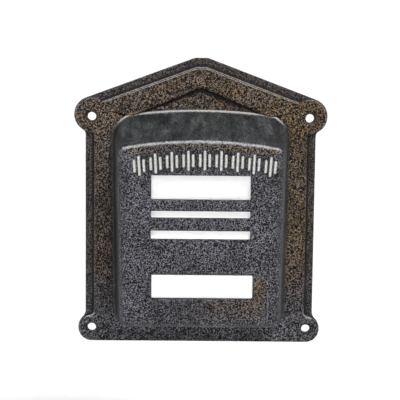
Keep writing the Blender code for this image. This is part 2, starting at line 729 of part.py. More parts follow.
def make_board():
    back = BOARD_Y + BOARD_T
    holes = [circle(place, 1.4 * MM, 12) for place in BOARD_POSTS]
    outline = rectangle(-BOARD_HALF, BOARD_HALF, *BOARD_Z)
    flat("circuit_board", [outline, *holes], BOARD_Y, back, "green_laminate")
    head = back + GAP
    screw_set("board_screw", BOARD_POSTS, 2.4 * MM, head, head + 1.6 * MM, 0.9 * MM, -26.5 * MM)


def make_switch():
    x, z = BUTTON
    front = STEM_END_Y + BUTTON_TRAVEL + GAP
    box = (x - 5 * MM, x + 5 * MM, z - 5 * MM, z + 5 * MM, front, BOARD_Y - GAP)
    body = blocks("switch_body", [box], "black_plastic")
    bore = rods("switch_bore", [BUTTON], 2.3 * MM, -28 * MM, -22.6 * MM, collection=CUTTERS, segments=16)
    boolean(body, "DIFFERENCE", bore)
    rods("switch_plunger", [BUTTON], 2.0 * MM, STEM_END_Y + GAP, -24.4 * MM, "white_plastic", segments=16)


def make_board_parts():
    front, back = BOARD_Y - GAP, BOARD_Y + BOARD_T + GAP
    for number, side in enumerate((-1, 0, 1), 1):
        place = (side * 22 * MM, 105.5 * MM)
        rods(f"backlight_led_{number}", [place], 1.5 * MM, front - 2.6 * MM, front, "opal_acrylic", segments=12)

    capacitors = [(-30 * MM, 106 * MM), (-20 * MM, 106 * MM), (18 * MM, 100 * MM)]
    for number, place in enumerate(capacitors, 1):
        rods(f"capacitor_{number}", [place], 3.2 * MM, back, back + 7.2 * MM, "black_plastic", segments=20)

    chip_x, chip_z, half_l, half_w = -20 * MM, 82 * MM, 4.8 * MM, 3.2 * MM
    box = (chip_x - half_l, chip_x + half_l, chip_z - half_w, chip_z + half_w, back + 0.4 * MM, back + 3.6 * MM)
    chip = blocks("amplifier_chip", [box], "black_plastic")
    legs = []
    for pin in range(4):
        x = chip_x + (pin - 1.5) * 2.5 * MM
        for side in (-1, 1):
            z = chip_z + side * half_w
            legs.append((x - 0.25 * MM, x + 0.25 * MM, z - 0.9 * MM, z + 0.9 * MM, back, back + 1.6 * MM))
    boolean(chip, "UNION", blocks("chip_legs", legs, collection=CUTTERS))

    x, z = TRIMMER
    box = (x - 4.5 * MM, x + 4.5 * MM, z - 4.5 * MM, z + 4.5 * MM, back, back + 4.6 * MM)
    trimmer = blocks("volume_trimmer", [box], "blue_plastic")
    seat_y = back + 3.0 * MM
    seat = rods("rotor_seat", [TRIMMER], 2.9 * MM, seat_y, back + 6 * MM, collection=CUTTERS, segments=24)
    boolean(trimmer, "DIFFERENCE", seat)
    rotor = rods("volume_rotor", [(0, 0)], 2.6 * MM, seat_y + GAP, back + 5.2 * MM, "white_plastic", segments=24)
    slot = blocks(
        "rotor_slot",
        [(-2.0 * MM, 2.0 * MM, -0.4 * MM, 0.4 * MM, back + 4.2 * MM, back + 6 * MM)],
        collection=CUTTERS,
    )
    rotor.location = slot.location = (x, 0, z)
    boolean(rotor, "DIFFERENCE", slot)


def make_terminals():
    x, z = TERMINALS
    front = BOARD_Y + BOARD_T + GAP
    back = front + 8.6 * MM
    block = blocks(
        "terminal_block", [(x - 10.6 * MM, x + 10.6 * MM, z - 5 * MM, z + 5 * MM, front, back)], "green_plastic"
    )
    places = [(x + (i - 1.5) * TERMINAL_PITCH, z + MM) for i in range(4)]
    wells = rods("terminal_wells", places, 2.1 * MM, back - 3.2 * MM, back + MM, collection=CUTTERS, segments=16)
    boolean(block, "DIFFERENCE", wells)
    mouths = [
        (px - 1.6 * MM, px + 1.6 * MM, z - 6 * MM, z - 1.5 * MM, front + 1.4 * MM, front + 4.4 * MM)
        for px, _ in places
    ]
    boolean(block, "DIFFERENCE", blocks("wire_mouths", mouths, collection=CUTTERS))
    for number, (px, pz) in enumerate(places, 1):
        head = rods(
            f"terminal_screw_{number}",
            [(px, pz)],
            1.8 * MM,
            back - 2.9 * MM,
            back - 1.0 * MM,
            "zinc_steel",
            segments=16,
        )
        slot = (px - 1.4 * MM, px + 1.4 * MM, pz - 0.3 * MM, pz + 0.3 * MM, back - 1.7 * MM, back)
        boolean(head, "DIFFERENCE", blocks(f"terminal_slot_{number}", [slot], collection=CUTTERS))


make_casting()
make_gasket()
make_card_window()
make_cloth()
make_call_button()
make_button_springs()
make_module_frame()
make_module_screws()
make_back_cover()
make_speaker()
make_microphone()
make_board()
make_switch()
make_board_parts()
make_terminals()
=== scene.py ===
"""Door intercom panel: a hammered cast front with an audio door station inside its hood.

Millimetres are written as numbers times MM. X is to the right, the visitor stands at -Y, Z is up.
"""

import json

import bmesh
import bpy
import numpy as np
from mathutils import Matrix, Vector


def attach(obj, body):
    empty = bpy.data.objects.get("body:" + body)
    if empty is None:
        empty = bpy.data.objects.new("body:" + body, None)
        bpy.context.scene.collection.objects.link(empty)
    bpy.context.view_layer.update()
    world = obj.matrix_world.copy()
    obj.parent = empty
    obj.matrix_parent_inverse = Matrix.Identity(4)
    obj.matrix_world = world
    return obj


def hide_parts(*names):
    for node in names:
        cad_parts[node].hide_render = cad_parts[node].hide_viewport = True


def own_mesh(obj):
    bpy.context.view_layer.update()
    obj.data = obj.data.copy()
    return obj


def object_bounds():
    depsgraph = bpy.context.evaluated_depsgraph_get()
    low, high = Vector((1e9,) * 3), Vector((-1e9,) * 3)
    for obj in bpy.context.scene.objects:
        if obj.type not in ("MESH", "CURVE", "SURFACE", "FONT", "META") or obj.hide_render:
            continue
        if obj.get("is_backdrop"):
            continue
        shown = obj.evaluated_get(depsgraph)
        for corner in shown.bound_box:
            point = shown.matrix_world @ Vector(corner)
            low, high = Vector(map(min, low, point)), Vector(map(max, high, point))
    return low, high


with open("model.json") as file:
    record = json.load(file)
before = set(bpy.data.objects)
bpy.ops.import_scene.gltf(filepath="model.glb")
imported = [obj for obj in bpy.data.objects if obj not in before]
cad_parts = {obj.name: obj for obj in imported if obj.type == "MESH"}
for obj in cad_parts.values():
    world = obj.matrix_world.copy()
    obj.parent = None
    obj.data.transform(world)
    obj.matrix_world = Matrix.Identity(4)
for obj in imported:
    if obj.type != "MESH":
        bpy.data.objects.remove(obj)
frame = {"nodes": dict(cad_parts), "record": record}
cad_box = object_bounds()


# ---------------- casting: the outlines it is drawn from
# The front is one sand casting, so its plate, band and hood share one skin. Each outline below is given as
# matching sections from the top middle round to the bottom middle, so that a line drawn between two outlines
# joins roof to arch, ear to shoulder and side to side.

MM = 0.001
FACE_Y, BAND_Y = -46.8, -8.8
EAR_X, UPPER_EAR_Z, UPPER_EAR_R, LOWER_EAR_R = 75.6, 150.5, 12.34, 9.58
SECTION_COUNTS = (64, 40, 60, 36, 40)


def arc_points(centre, radius, start, end, count):
    """Evenly turned points on a circle from one angle to another, the last one left out."""
    a = np.radians(start + (end - start) * np.arange(count) / count)
    return np.stack([centre[0] + radius * np.cos(a), centre[1] + radius * np.sin(a)], 1)


def line_points(start, end, count):
    """Evenly spaced points on a straight line, the last one left out."""
    t = np.arange(count)[:, None] / count
    return np.array(start) * (1 - t) + np.array(end) * t


def spread(points, count):
    """The same open line with its points moved to equal steps along its length, the last one left out."""
    steps = np.r_[0, np.cumsum(np.hypot(*np.diff(points, axis=0).T))]
    at = np.arange(count) / count * steps[-1]
    return np.stack([np.interp(at, steps, points[:, 0]), np.interp(at, steps, points[:, 1])], 1)


def closed_outline(half):
    """A right half that runs from the top middle to the bottom middle, closed by its mirror image."""
    return np.concatenate([half, half[1:-1][::-1] * (-1, 1)])


def house_line(inset, ear_inset, upper_fillet, lower_fillet):
    """Roof line, upper ear, straight side, lower ear and foot. The straight lines move in by one inset and the
    ears by another. A fillet joins each ear to the side: its centre is one fillet radius outside the side line
    and one fillet radius plus the ear's radius from the ear's centre."""
    upper_r, lower_r = UPPER_EAR_R - ear_inset, LOWER_EAR_R - ear_inset
    ridge_x, ridge_z, touch_r, side = 4.6, 190.2, 12.4, 80.0 - inset
    run, fall = EAR_X - ridge_x, ridge_z - UPPER_EAR_Z
    slope = np.arctan2(fall, run) - np.arcsin(touch_r / np.hypot(run, fall))
    top = 90 - np.degrees(slope) + np.degrees(np.arccos(min(1.0, (UPPER_EAR_R - inset) / upper_r)))
    upper_reach, lower_reach = upper_r + upper_fillet, lower_r + lower_fillet
    upper_end = -np.degrees(np.arccos((side + upper_fillet - EAR_X) / upper_reach))
    lower_start = np.degrees(np.arccos((side + lower_fillet - EAR_X) / lower_reach))
    upper_centre = (side + upper_fillet, UPPER_EAR_Z + upper_reach * np.sin(np.radians(upper_end)))
    lower_centre = (side + lower_fillet, lower_reach * np.sin(np.radians(lower_start)))
    ridge = (ridge_x - inset * np.tan(slope / 2), ridge_z - inset)
    ear = arc_points((EAR_X, UPPER_EAR_Z), upper_r, top, upper_end, 120)
    hollow = arc_points(upper_centre, upper_fillet, 180 + upper_end, 180, 40)
    low_hollow = arc_points(lower_centre, lower_fillet, 180, 180 + lower_start, 40)
    low_ear = arc_points((EAR_X, 0), lower_r, lower_start, -90, 120)
    side_top, side_foot = (side, upper_centre[1]), (side, lower_centre[1])
    foot, foot_middle = (EAR_X, -lower_r), (0, -lower_r)
    a, b, c, d, e = SECTION_COUNTS
    roof = spread(np.array([(0, ridge[1]), ridge, ear[0]]), a)
    upper = spread(np.concatenate([ear, hollow, [side_top]]), b)
    lower = spread(np.concatenate([low_hollow, low_ear, [foot]]), d)
    sections = [roof, upper, line_points(side_top, side_foot, c), lower, line_points(foot, foot_middle, e)]
    return closed_outline(np.concatenate([*sections, [foot_middle]]) * MM)


def hood_line(y, inset):
    """The hood at one depth: an arch, rounded shoulders, leaning sides and a foot. Every size changes evenly from
    the band to the face, and the width shrinks evenly from the top to the foot by 3.7 percent."""
    t = (BAND_Y - y) / (BAND_Y - FACE_Y)
    half, apex, foot, arch, shoulder, corner = (
        at_band + (at_face - at_band) * t
        for at_band, at_face in ((60.8, 55.9), (152.6, 137.0), (4.3, 9.8), (380, 290), (14, 6), (8, 6))
    )
    half, apex, foot, arch = half - inset, apex - inset, foot + inset, arch - inset
    shoulder, corner = max(shoulder - inset, 1.5), max(corner - inset, 1.5)
    across = half - shoulder
    up = np.sqrt((arch - shoulder) ** 2 - across**2)
    lean = np.degrees(np.arctan2(up, across))
    middle = apex - arch
    a, b, c, d, e = SECTION_COUNTS
    top = arc_points((0, middle), arch, 90, lean, a)
    turn = arc_points((across, middle + up), shoulder, lean, 0, b)
    side = line_points((half, middle + up), (half, foot + corner), c)
    low = arc_points((half - corner, foot + corner), corner, 0, -90, d)
    base = line_points((half - corner, foot), (0, foot), e)
    points = np.concatenate([top, turn, side, low, base, [(0, foot)]])
    points[:, 0] *= 1 - 0.037 * (apex - points[:, 1]) / (apex - foot)
    return closed_outline(points * MM)


def hood_at(depths):
    """The hood's outline with a depth of its own at each point, picked from one whole outline for each depth."""
    levels, which = np.unique(depths, return_inverse=True)
    return np.stack([hood_line(level, 0) for level in levels])[which, np.arange(len(depths))]


# ---------------- casting: its skin
# Sand-cast aluminium, 4 to 6 mm thick in the plate and 3 mm in the hood, with rounded edges and a slightly
# uneven skin. It hangs on four screws through its ears, over the wall gasket.

BACK_Y, CEILING_Y, WALL = -2.3, -43.8, 3.0

scene = bpy.context.scene


def smooth_step(x, low, high):
    """0 below low, 1 above high, and a smooth S between."""
    t = np.clip((x - low) / (high - low), 0, 1)
    return t * t * (3 - 2 * t)


def cast_waves(x, z):
    """Slow unevenness of a sand mould, in mm: five sine waves of different length and direction, added up."""
    x, z = x / MM, z / MM
    return (
        0.05 * np.sin(0.21 * x + 0.33 * z)
        + 0.05 * np.sin(0.37 * x - 0.18 * z + 1.3)
        + 0.04 * np.sin(0.55 * z + 0.8)
        + 0.03 * np.sin(0.83 * x + 0.41 * z + 2.1)
        + 0.03 * np.sin(0.47 * x - 0.91 * z + 4.0)
    )


def low_patch(x, z):
    """1 in the darker patch round the call bar's opening, fading over 7 mm to 0 outside it."""
    across = np.maximum(np.abs(x / MM - 4 + 2 * np.sin(z / (4 * MM))) - 37, 0)
    above = np.maximum(np.abs(z / MM - 27 + 2 * np.sin(x / (6 * MM))) - 12, 0)
    return 1 - smooth_step(np.hypot(across, above), 0, 7)


def marks_shade_patch(x, z):
    """1 along the arc of the raised marks, where painted shade lies between them, fading to 0 beside it."""
    off_arc = np.abs(z / MM - 123.6 + 4.0 * ((x / MM - 2.4) / 44) ** 2)
    return (1 - smooth_step(off_arc, 5.5, 9.0)) * (1 - smooth_step(np.abs(x / MM - 2.4), 44, 50))


def ear_highlight_patch(x, z):
    """1 on the shoulder above each lower ear, where a painted highlight is laid as bared metal, fading to 0 at 5 mm
    from its middle.
    """
    return 1 - smooth_step(np.hypot(np.abs(x / MM) - 77, z / MM - 10.2), 1.5, 5.0)


def share_from(low, high):
    """0 at ring points before the low share of the way from top to bottom middle, 1 after the high one."""
    way = 1 - np.abs(1 - np.arange(2 * sum(SECTION_COUNTS)) / sum(SECTION_COUNTS))
    return smooth_step(way, low, high)


# How far each point of a ring is over the roof, on the hood's arch, on its sides and on its foot. Under the roof
# the plate sinks into a recess.
roof_share = SECTION_COUNTS[0] / sum(SECTION_COUNTS)
ear_share = sum(SECTION_COUNTS[:2]) / sum(SECTION_COUNTS)
foot_share = 1 - SECTION_COUNTS[4] / sum(SECTION_COUNTS)
over_roof = 1 - share_from(roof_share - 0.01, roof_share + 0.07)
on_arch = 1 - share_from(roof_share + 0.02, ear_share)
on_sides = 1 - share_from(ear_share - 0.06, ear_share)
on_foot = share_from(foot_share - 0.08, foot_share)
recess = 2.7 * over_roof
floor_y = BAND_Y + recess
band_edge = house_line(6.0, 0.4, 1.5, 3.0)
hood_base = hood_line(BAND_Y, 0.0)


def row(outline, depth, wear_and_highlight=0.0, smooth=0.0, brown=0.0, pool=0.0):
    """One ring of the skin: the x, y and z of each point, then its looks, which are how worn and how strongly a
    painted highlight brightens it, how smooth, how brown and how much painted shade darkens it. Brown fades to 12
    percent of itself towards the foot and to 70 percent towards the left."""
    brown = brown * (0.12 + 0.88 * smooth_step(outline[:, 1] / MM, 8, 55))
    brown = brown * (0.85 + 0.15 * np.tanh(outline[:, 0] / (25 * MM)))
    columns = (outline[:, 0], np.multiply(depth, MM), outline[:, 1], wear_and_highlight, smooth, brown, pool)
    return np.stack(np.broadcast_arrays(*columns), 1)


def spine_of(outline):
    """The upright line that a ring shrinks to: x is 0 and the height is held between 45 and 105 mm."""
    return np.stack([0 * outline[:, 0], np.clip(outline[:, 1], 45 * MM, 105 * MM)], 1)


def face_rows():
    """The face, waved by the mould, from its spine to its edge. The edge is a quarter round of 3 mm: at angle a it
    lies 3 (1 - cos a) behind the face and 3 (1 - sin a) inside the hood's outline."""
    radius = 3.0
    edge = hood_line(FACE_Y, radius)
    for t in np.linspace(0, 1, 26):
        ring = spine_of(edge) * (1 - t) + edge * t
        x, patch, near_edge = ring[:, 0] / MM, low_patch(*ring.T), smooth_step(t, 0.8, 1.0)
        bronze = 0.06 + 0.75 * on_arch * smooth_step(t, 0.86, 0.94) + 1.5 * patch * smooth_step(x, -30, 35)
        calm = 0.2 * (1 - on_arch) * smooth_step(t, 0.95, 1.0)
        # Painted shade lies between the raised marks along their arc; the same value also darkens the patch left of the
        # call bar's opening.
        dark = 0.55 * patch * (1 - smooth_step(x, 0, 40)) + 0.65 * marks_shade_patch(*ring.T)
        y = FACE_Y + 0.35 * cast_waves(*ring.T) * (1 - near_edge)
        yield row(ring, y, wear_and_highlight=0.10 * near_edge**3 * on_arch, smooth=calm, brown=bronze, pool=dark)
    # The rounded edge is lightened as wear and painted highlight, mostly along the arch.
    for angle, wear_and_highlight in ((12, 0.2), (26, 0.6), (40, 0.75), (54, 0.6), (68, 0.2), (80, 0.0)):
        a = np.radians(angle)
        y = FACE_Y + radius * (1 - np.cos(a))
        line = hood_line(y, radius * (1 - np.sin(a)))
        calm = 0.35 * (1 - on_arch) + on_arch * (angle > 60)
        yield row(line, y, wear_and_highlight=wear_and_highlight * (0.12 + 0.88 * on_arch), smooth=calm, brown=0.06)


def hood_rows():
    """The hood's top and sides, bulging by half the mould's waves. At their foot the arch has a raised bead, and the
    sides have a hollow fillet of 2.2 mm."""
    fillet = 2.2
    outward = hood_line(BAND_Y, -1.0) - hood_base
    for t in np.linspace(0.0, 1, 26):
        y = -43.8 + (floor_y - 3.2 + 43.8) * t
        line = hood_at(y)
        x = line[:, 0] / MM
        swell = 0.5 * cast_waves(line[:, 0], line[:, 1] + y * MM * 3)[:, None] * outward * np.sin(np.pi * t)
        # Painted shade on the hood's left wall, at both ends of its arch and along the arch's foot. The lit right wall
        # has none of it and more flakes, so it shows lighter.
        shaded_left_wall, lit_right_wall = smooth_step(-x, 40, 58), (1 - on_arch) * smooth_step(x, 40, 58)
        walls = (1 - on_arch) * (0.06 + 0.29 * shaded_left_wall + (0.2 + 0.35 * shaded_left_wall) * smooth_step(t, 0.3, 1.0))
        ends = on_arch * smooth_step(np.abs(x), 46, 60) * 0.45
        calm = (0.7 + 0.3 * smooth_step(t, 0.0, 0.1)) * (1 - 0.6 * lit_right_wall)
        dark = walls * (1 - lit_right_wall) + ends + 0.25 * on_arch * smooth_step(t, 0.75, 1.0)
        yield row(line + swell, y, smooth=calm, pool=dark)
    # The bead on the arch carries a painted highlight, and the foot of the sides painted shade.
    bead = 0.75 * on_arch
    dark = 0.1 + 0.5 * (1 - on_arch) * smooth_step(hood_base[:, 1] / MM, 6, 30)
    for lift, out, wear_and_highlight in ((2.6, 0.25, 0.1), (2.1, 0.62, 0.7), (1.5, 0.95, 1.0), (0.9, 1.05, 0.9), (0.45, 1.15, 0.3)):
        y = floor_y - lift
        hollow = fillet - np.sqrt(max(0, fillet**2 - (fillet - min(lift, fillet)) ** 2))
        line = hood_at(y) + (bead * out + (1 - bead) * hollow)[:, None] * outward
        yield row(line, y, wear_and_highlight=on_arch * wear_and_highlight, smooth=0.6 * (1 - on_arch), brown=0.6, pool=dark)


def plate_rows():
    """The plate from the hood to the band's edge, along a ray from each point to its partner. Where a ray crosses
    the gable line, which falls at 22.6 degrees on both sides, the recess steps up to the band. The band ends in
    two fine raised lines, 1.5 and 0.4 mm from its edge, and falls off steeply behind it."""
    ray = hood_base - band_edge
    length = np.hypot(*ray.T) / MM
    gable_top, fall = 169.9, np.tan(np.radians(22.6))
    above_gable = band_edge[:, 1] / MM - (gable_top - np.abs(band_edge[:, 0] / MM) * fall)
    closing = (ray[:, 1] / MM) + np.sign(band_edge[:, 0]) * (ray[:, 0] / MM) * fall
    gable = np.clip(above_gable / np.maximum(-closing, 1e-3), 0.15, 0.93)
    gable = gable * over_roof + 0.5 * (1 - over_roof)
    margin = 2.2 / length
    # Painted shade along the foot of the hood's sides, deeper on the left.
    left_side = smooth_step(-hood_base[:, 0] / MM, 40, 60)
    foot_dark = (0.4 + 0.45 * left_side) * (1 - on_arch) * smooth_step(hood_base[:, 1] / MM, 6, 30)

    def across(share, depth, waves=0.0, wear_and_highlight=0.0, **look):
        """The ring at a share of the way to the hood, raised by the mould's waves, with a painted highlight near the
        ears.
        """
        ring = band_edge + ray * share[:, None]
        return row(ring, depth - waves * cast_waves(*ring.T), wear_and_highlight=wear_and_highlight + 0.7 * ear_highlight_patch(*ring.T), **look)

    # The recess floor darkens towards its upper wall as a painted shadow of the band, and its wall is shaded too.
    for t in np.linspace(0, 1, 9):
        share = 1 - margin - (1 - margin - gable - 1.1 / length) * t
        dark = over_roof**3 * (0.25 + 0.75 * smooth_step(t, 0.66, 0.94))
        yield across(share, floor_y, 0.8, brown=1.0, pool=dark + foot_dark * (1 - smooth_step(t, 0.0, 0.3)))
    for back, drop, wear_and_highlight in ((0.8, 0.97, 0.0), (0.5, 0.75, 0.0), (0.25, 0.35, 0.0), (0.0, 0.1, 0.1), (-0.45, 0.0, 0.2)):
        dark = over_roof**3 * smooth_step(back, -0.2, 0.2)
        yield across(gable + back / length, BAND_Y + recess * drop, wear_and_highlight=wear_and_highlight * over_roof, brown=1.0, pool=dark)
    # The band is darkened a little under the roof and more along the foot: painted shade.
    for t in np.linspace(0, 1, 12)[1:]:
        share = (gable - 0.45 / length) * (1 - t) + margin * t
        yield across(share, BAND_Y, 0.8 * np.sin(np.pi * t) ** 0.5, brown=1.0, pool=0.14 * over_roof + 0.3 * on_foot)
    # The roof's edge and the raised lines are lightened as wear and painted highlight, most over the roof. The fall
    # behind the band's edge carries painted shade.
    worn_and_highlit = 0.5 + 0.1 * on_sides + 0.4 * over_roof
    raised_lines = ((1.9, 0.1, 0.2), (1.5, 0.35, 0.9), (1.1, 0.2, 0.2), (0.75, 0.3, 0.3), (0.4, 0.2, 0.9))
    for out, lift, wear_and_highlight in (*raised_lines, (0.15, -0.25, 0.2)):
        yield across(out / length, BAND_Y - lift, wear_and_highlight=wear_and_highlight * worn_and_highlit, brown=0.8)
    yield across(0.0 / length, -8.0, brown=0.8, pool=0.5)
    yield across(-0.05 / length, -7.2, brown=0.8, pool=0.9)


def rim_rows():
    """The low strip outside the band, the plate's rounded rim and the flat back as far as the hood's inside."""
    rim, inner = house_line(0.0, 0.0, 4.0, 8.0), house_line(0.6, 0.6, 4.6, 8.6)
    strip = rim - band_edge
    width = np.hypot(*strip.T) / MM
    # Painted shade lies over the low strip and the rim, deepest at the strip's inner edge under the band's fall; the
    # rim above each lower ear carries a painted highlight instead.
    low_strip = ((0.06, -6.75, 1.0), (0.14, -6.4, 1.0), (0.22, -6.3, 0.8), (0.34, -6.3, 0.2))
    for t, y, dark in (*low_strip, (0.5, -6.36, 0.0), (0.68, -6.32, 0.1)):
        yield row(band_edge + strip * t, y, brown=0.55, pool=0.6 + 0.4 * dark)
    ear_highlight = 0.5 * ear_highlight_patch(*rim.T)
    for inset, y, wear_and_highlight in ((1.3, -6.34, 0.1), (0.9, -6.3, 0.15), (0.5, -6.05, 0.2), (0.2, -5.7, 0.1), (0.0, -5.1, 0.0)):
        line = rim - strip * np.minimum(inset / width, 0.3)[:, None]
        yield row(line, y, wear_and_highlight=wear_and_highlight + ear_highlight, brown=0.5, pool=0.6 * (1 - ear_highlight))
    for y in (-4.2, -3.3):
        yield row(rim, y, brown=0.6, pool=0.4)
    yield row(rim + (inner - rim) * 0.3, -2.6, wear_and_highlight=0.2, brown=0.6)
    cavity = hood_line(BACK_Y, WALL)
    for t in np.linspace(0, 1, 7)[:-1]:
        yield row(inner * (1 - t) + cavity * t, BACK_Y, brown=0.6)


def inside_rows():
    """The hood's inside, 3 mm within its outside all the way, and its ceiling, which closes on its spine."""
    yield row(hood_line(BACK_Y, WALL - 0.4), BACK_Y, brown=0.6)
    for y in np.linspace(-2.7, -43.2, 14):
        yield row(hood_line(y, WALL), y, brown=0.3)
    ceiling = hood_line(CEILING_Y, WALL + 0.6)
    for t in np.linspace(0, 1, 12):
        yield row(ceiling * (1 - t) + spine_of(ceiling) * t, CEILING_Y, brown=0.3)


def skin_object(name, grids, looped=False, looks=()):
    """One mesh object over grids of points. Rows follow the profile and columns go round it, so the last column
    joins the first, and the last row joins the first too if looped. Rows that shrink to a line or a point are
    welded shut, and all faces are turned outwards. Looks are named values, one for each point."""
    faces, first = [], 0
    for grid in grids:
        index = first + np.arange(grid[..., 0].size).reshape(grid.shape[:2])
        behind = np.roll(index, -1, axis=0)
        if not looped:
            index, behind = index[:-1], behind[:-1]
        across, behind_across = np.roll(index, -1, axis=1), np.roll(behind, -1, axis=1)
        faces.append(np.stack([index, behind, behind_across, across], -1).reshape(-1, 4))
        first += grid[..., 0].size
    mesh = bpy.data.meshes.new(name)
    points = np.concatenate([grid.reshape(-1, 3) for grid in grids])
    mesh.from_pydata(points, [], np.concatenate(faces).tolist())
    for key, values in looks:
        mesh.attributes.new(key, "FLOAT", "POINT").data.foreach_set("value", values.reshape(-1).astype(np.float32))
    work = bmesh.new()
    work.from_mesh(mesh)
    bmesh.ops.remove_doubles(work, verts=work.verts, dist=0.002 * MM)
    bmesh.ops.recalc_face_normals(work, faces=work.faces)
    work.to_mesh(mesh)
    work.free()
    made = bpy.data.objects.new(name, mesh)
    scene.collection.objects.link(made)
    return made


def cut_away(piece, cutters):
    """Takes the cutters out of the piece for good, and removes them."""
    for cutter in cutters:
        cut = piece.modifiers.new(cutter.name, "BOOLEAN")
        cut.operation = "DIFFERENCE"
        cut.solver = "MANIFOLD"
        cut.object = cutter
    bpy.context.view_layer.update()
    cut_mesh = bpy.data.meshes.new_from_object(piece.evaluated_get(bpy.context.evaluated_depsgraph_get()))
    piece.modifiers.clear()
    piece.data = cut_mesh
    for cutter in cutters:
        bpy.data.objects.remove(cutter)


rows = np.array([*face_rows(), *hood_rows(), *plate_rows(), *rim_rows(), *inside_rows()])
looks = zip(("wear_and_highlight", "smooth", "brown", "pool"), np.moveaxis(rows[..., 3:], 2, 0))
casting = skin_object("casting", [rows[..., :3]], looks=looks)


# ---------------- casting: openings and screw holes
# The four openings are milled through the face and the screw holes are drilled and countersunk, and the
# lacquer rounds every rim a little. Each cutter flares at the surface to leave that rounded rim. Inside, four
# bosses carry the tapped holes that hold the module.


def plate_rings(middle, size, radius, rows, steps=(10, 4)):
    """Rounded rectangles carried along Y. Each row tells how far the outline moves out sideways, how far it moves
    up and down where that differs, and its depth. The corner radius moves with the smaller of the two, down to a
    sharp corner."""
    rings = []
    for *grow, y in rows:
        w, h = size[0] / 2 + grow[0], size[1] / 2 + grow[-1]
        r = min(max(radius + min(grow), 0.0), w, h)
        corners = [(w - r, h - r, 0), (r - w, h - r, 90), (r - w, r - h, 180), (w - r, r - h, 270)]
        turned = []
        for cx, cz, start in corners:
            angles = np.radians(start + np.linspace(0, 90, 7))
            turned.append(np.stack([cx + r * np.cos(angles), cz + r * np.sin(angles)], 1))
        ring = []
        for number, corner in enumerate(turned):
            ring.append(corner)
            ring.append(line_points(corner[-1], turned[(number + 1) % 4][0], steps[number % 2])[1:])
        ring = np.concatenate(ring)
        rings.append(np.stack([middle[0] + ring[:, 0], np.full(len(ring), y), middle[1] + ring[:, 1]], 1))
    return np.array(rings) * MM


def turned_rings(middle, profile, count=40):
    """A profile of (radius, depth) points turned about an axis along Y."""
    a = np.linspace(0, 2 * np.pi, count, endpoint=False)
    radius, y = np.array(profile)[:, :1], np.array(profile)[:, 1:]
    return np.stack([middle[0] + radius * np.cos(a), y + 0 * a, middle[1] + radius * np.sin(a)], -1) * MM


def capped(rings):
    """The rings with a middle point added before the first and after the last, which closes both ends."""
    ends = [np.broadcast_to(ring.mean(axis=0), ring.shape) for ring in (rings[0], rings[-1])]
    return np.stack([ends[0], *rings, ends[1]])


NAME_PLACE, CALL_PLACE = (0.0, 105.2), (1.3, 37.65)

# A quarter round of 0.9 mm where the opening meets the face: at angle a it grows by 0.9 (1 - cos a) at a depth
# of 0.9 (1 - sin a).
rim_turn = np.radians([80, 60, 45, 30, 15])
rim_grow = 0.9 * (1 - np.cos(rim_turn))
opening_rows = [(0.9, -50.0), *zip(rim_grow, FACE_Y + 0.9 * (1 - np.sin(rim_turn)))]
opening_rows += [(0, -45.7), (0, -44.4), (0, -42.0)]
openings = [
    (NAME_PLACE, (66.8, 16.4)),
    ((0.0, 86.9), (66.8, 4.6)),
    ((0.0, 72.95), (67.0, 5.7)),
    (CALL_PLACE, (69.6, 17.1)),
]
# Drilled 6 mm, countersunk at 45 degrees, with a flared rim.
hole_profile = [(3.6, 0.0), (3.3, -2.1), (3.0, -2.5), (3.0, -6.4), (3.15, -6.9), (4.45, -8.3), (5.0, -8.75)]
hole_profile += [(5.8, -9.1), (6.2, -12.0)]
holes = [(side * EAR_X, z) for side in (-1, 1) for z in (0.0, 149.2)]
cutters = [skin_object("window_cut", [capped(plate_rings(*opening, 0.7, opening_rows))]) for opening in openings]
cutters += [skin_object("hole_cut", [capped(turned_rings(place, hole_profile, 48))]) for place in holes]
cut_away(casting, cutters)

# Cut walls start without looks, so those of the screw holes take the looks of the paint around them, painted shade and
# painted highlight included.
count = len(casting.data.vertices)
points = np.empty(count * 3, np.float32)
casting.data.vertices.foreach_get("co", points)
x, _, z = points.reshape(-1, 3).T
near_hole = np.minimum.reduce([np.hypot(x - at_x * MM, z - at_z * MM) for at_x, at_z in holes]) < 6 * MM
for name, least in (("brown", np.where(z > 50 * MM, 0.8, 0.1)), ("pool", 0.35), ("wear_and_highlight", 0.18)):
    values = np.empty(count, np.float32)
    casting.data.attributes[name].data.foreach_get("value", values)
    values = np.where(near_hole, np.maximum(values, least), values).astype(np.float32)
    casting.data.attributes[name].data.foreach_set("value", values)


# ---------------- paint effects shared by several materials
# Hammer-finish lacquer pulls itself into cells while it dries: pale flakes gather in the middle of each cell and
# dark pigment in the valleys between them. The group gives the mask of flakes, the height and a slow patchiness.


def add_node(tree, kind, **settings):
    """A shader node of one kind, with its settings."""
    made = tree.nodes.new(kind)
    for key, value in settings.items():
        setattr(made, key, value)
    return made


def feed(tree, socket, value):
    """Links an input to another socket, or sets it to a number or a colour."""
    if isinstance(value, bpy.types.NodeSocket):
        tree.links.new(value, socket)
    else:
        socket.default_value = (*value, 1.0) if isinstance(value, tuple) else value


def math_node(tree, operation, first, second):
    """A math node over two sockets or numbers."""
    made = add_node(tree, "ShaderNodeMath", operation=operation)
    feed(tree, made.inputs[0], first)
    feed(tree, made.inputs[1], second)
    return made.outputs[0]


def times(tree, first, second):
    """The product of two sockets or numbers."""
    return math_node(tree, "MULTIPLY", first, second)


def plus(tree, first, second):
    """The sum of two sockets or numbers."""
    return math_node(tree, "ADD", first, second)


def minus(tree, first, second):
    """The first socket or number less the second."""
    return math_node(tree, "SUBTRACT", first, second)


def within(tree, value, centre, half_width):
    """1 where the value is less than half a width from the centre, and 0 elsewhere."""
    off_centre = math_node(tree, "ABSOLUTE", minus(tree, value, centre), 0.0)
    return math_node(tree, "LESS_THAN", off_centre, half_width)


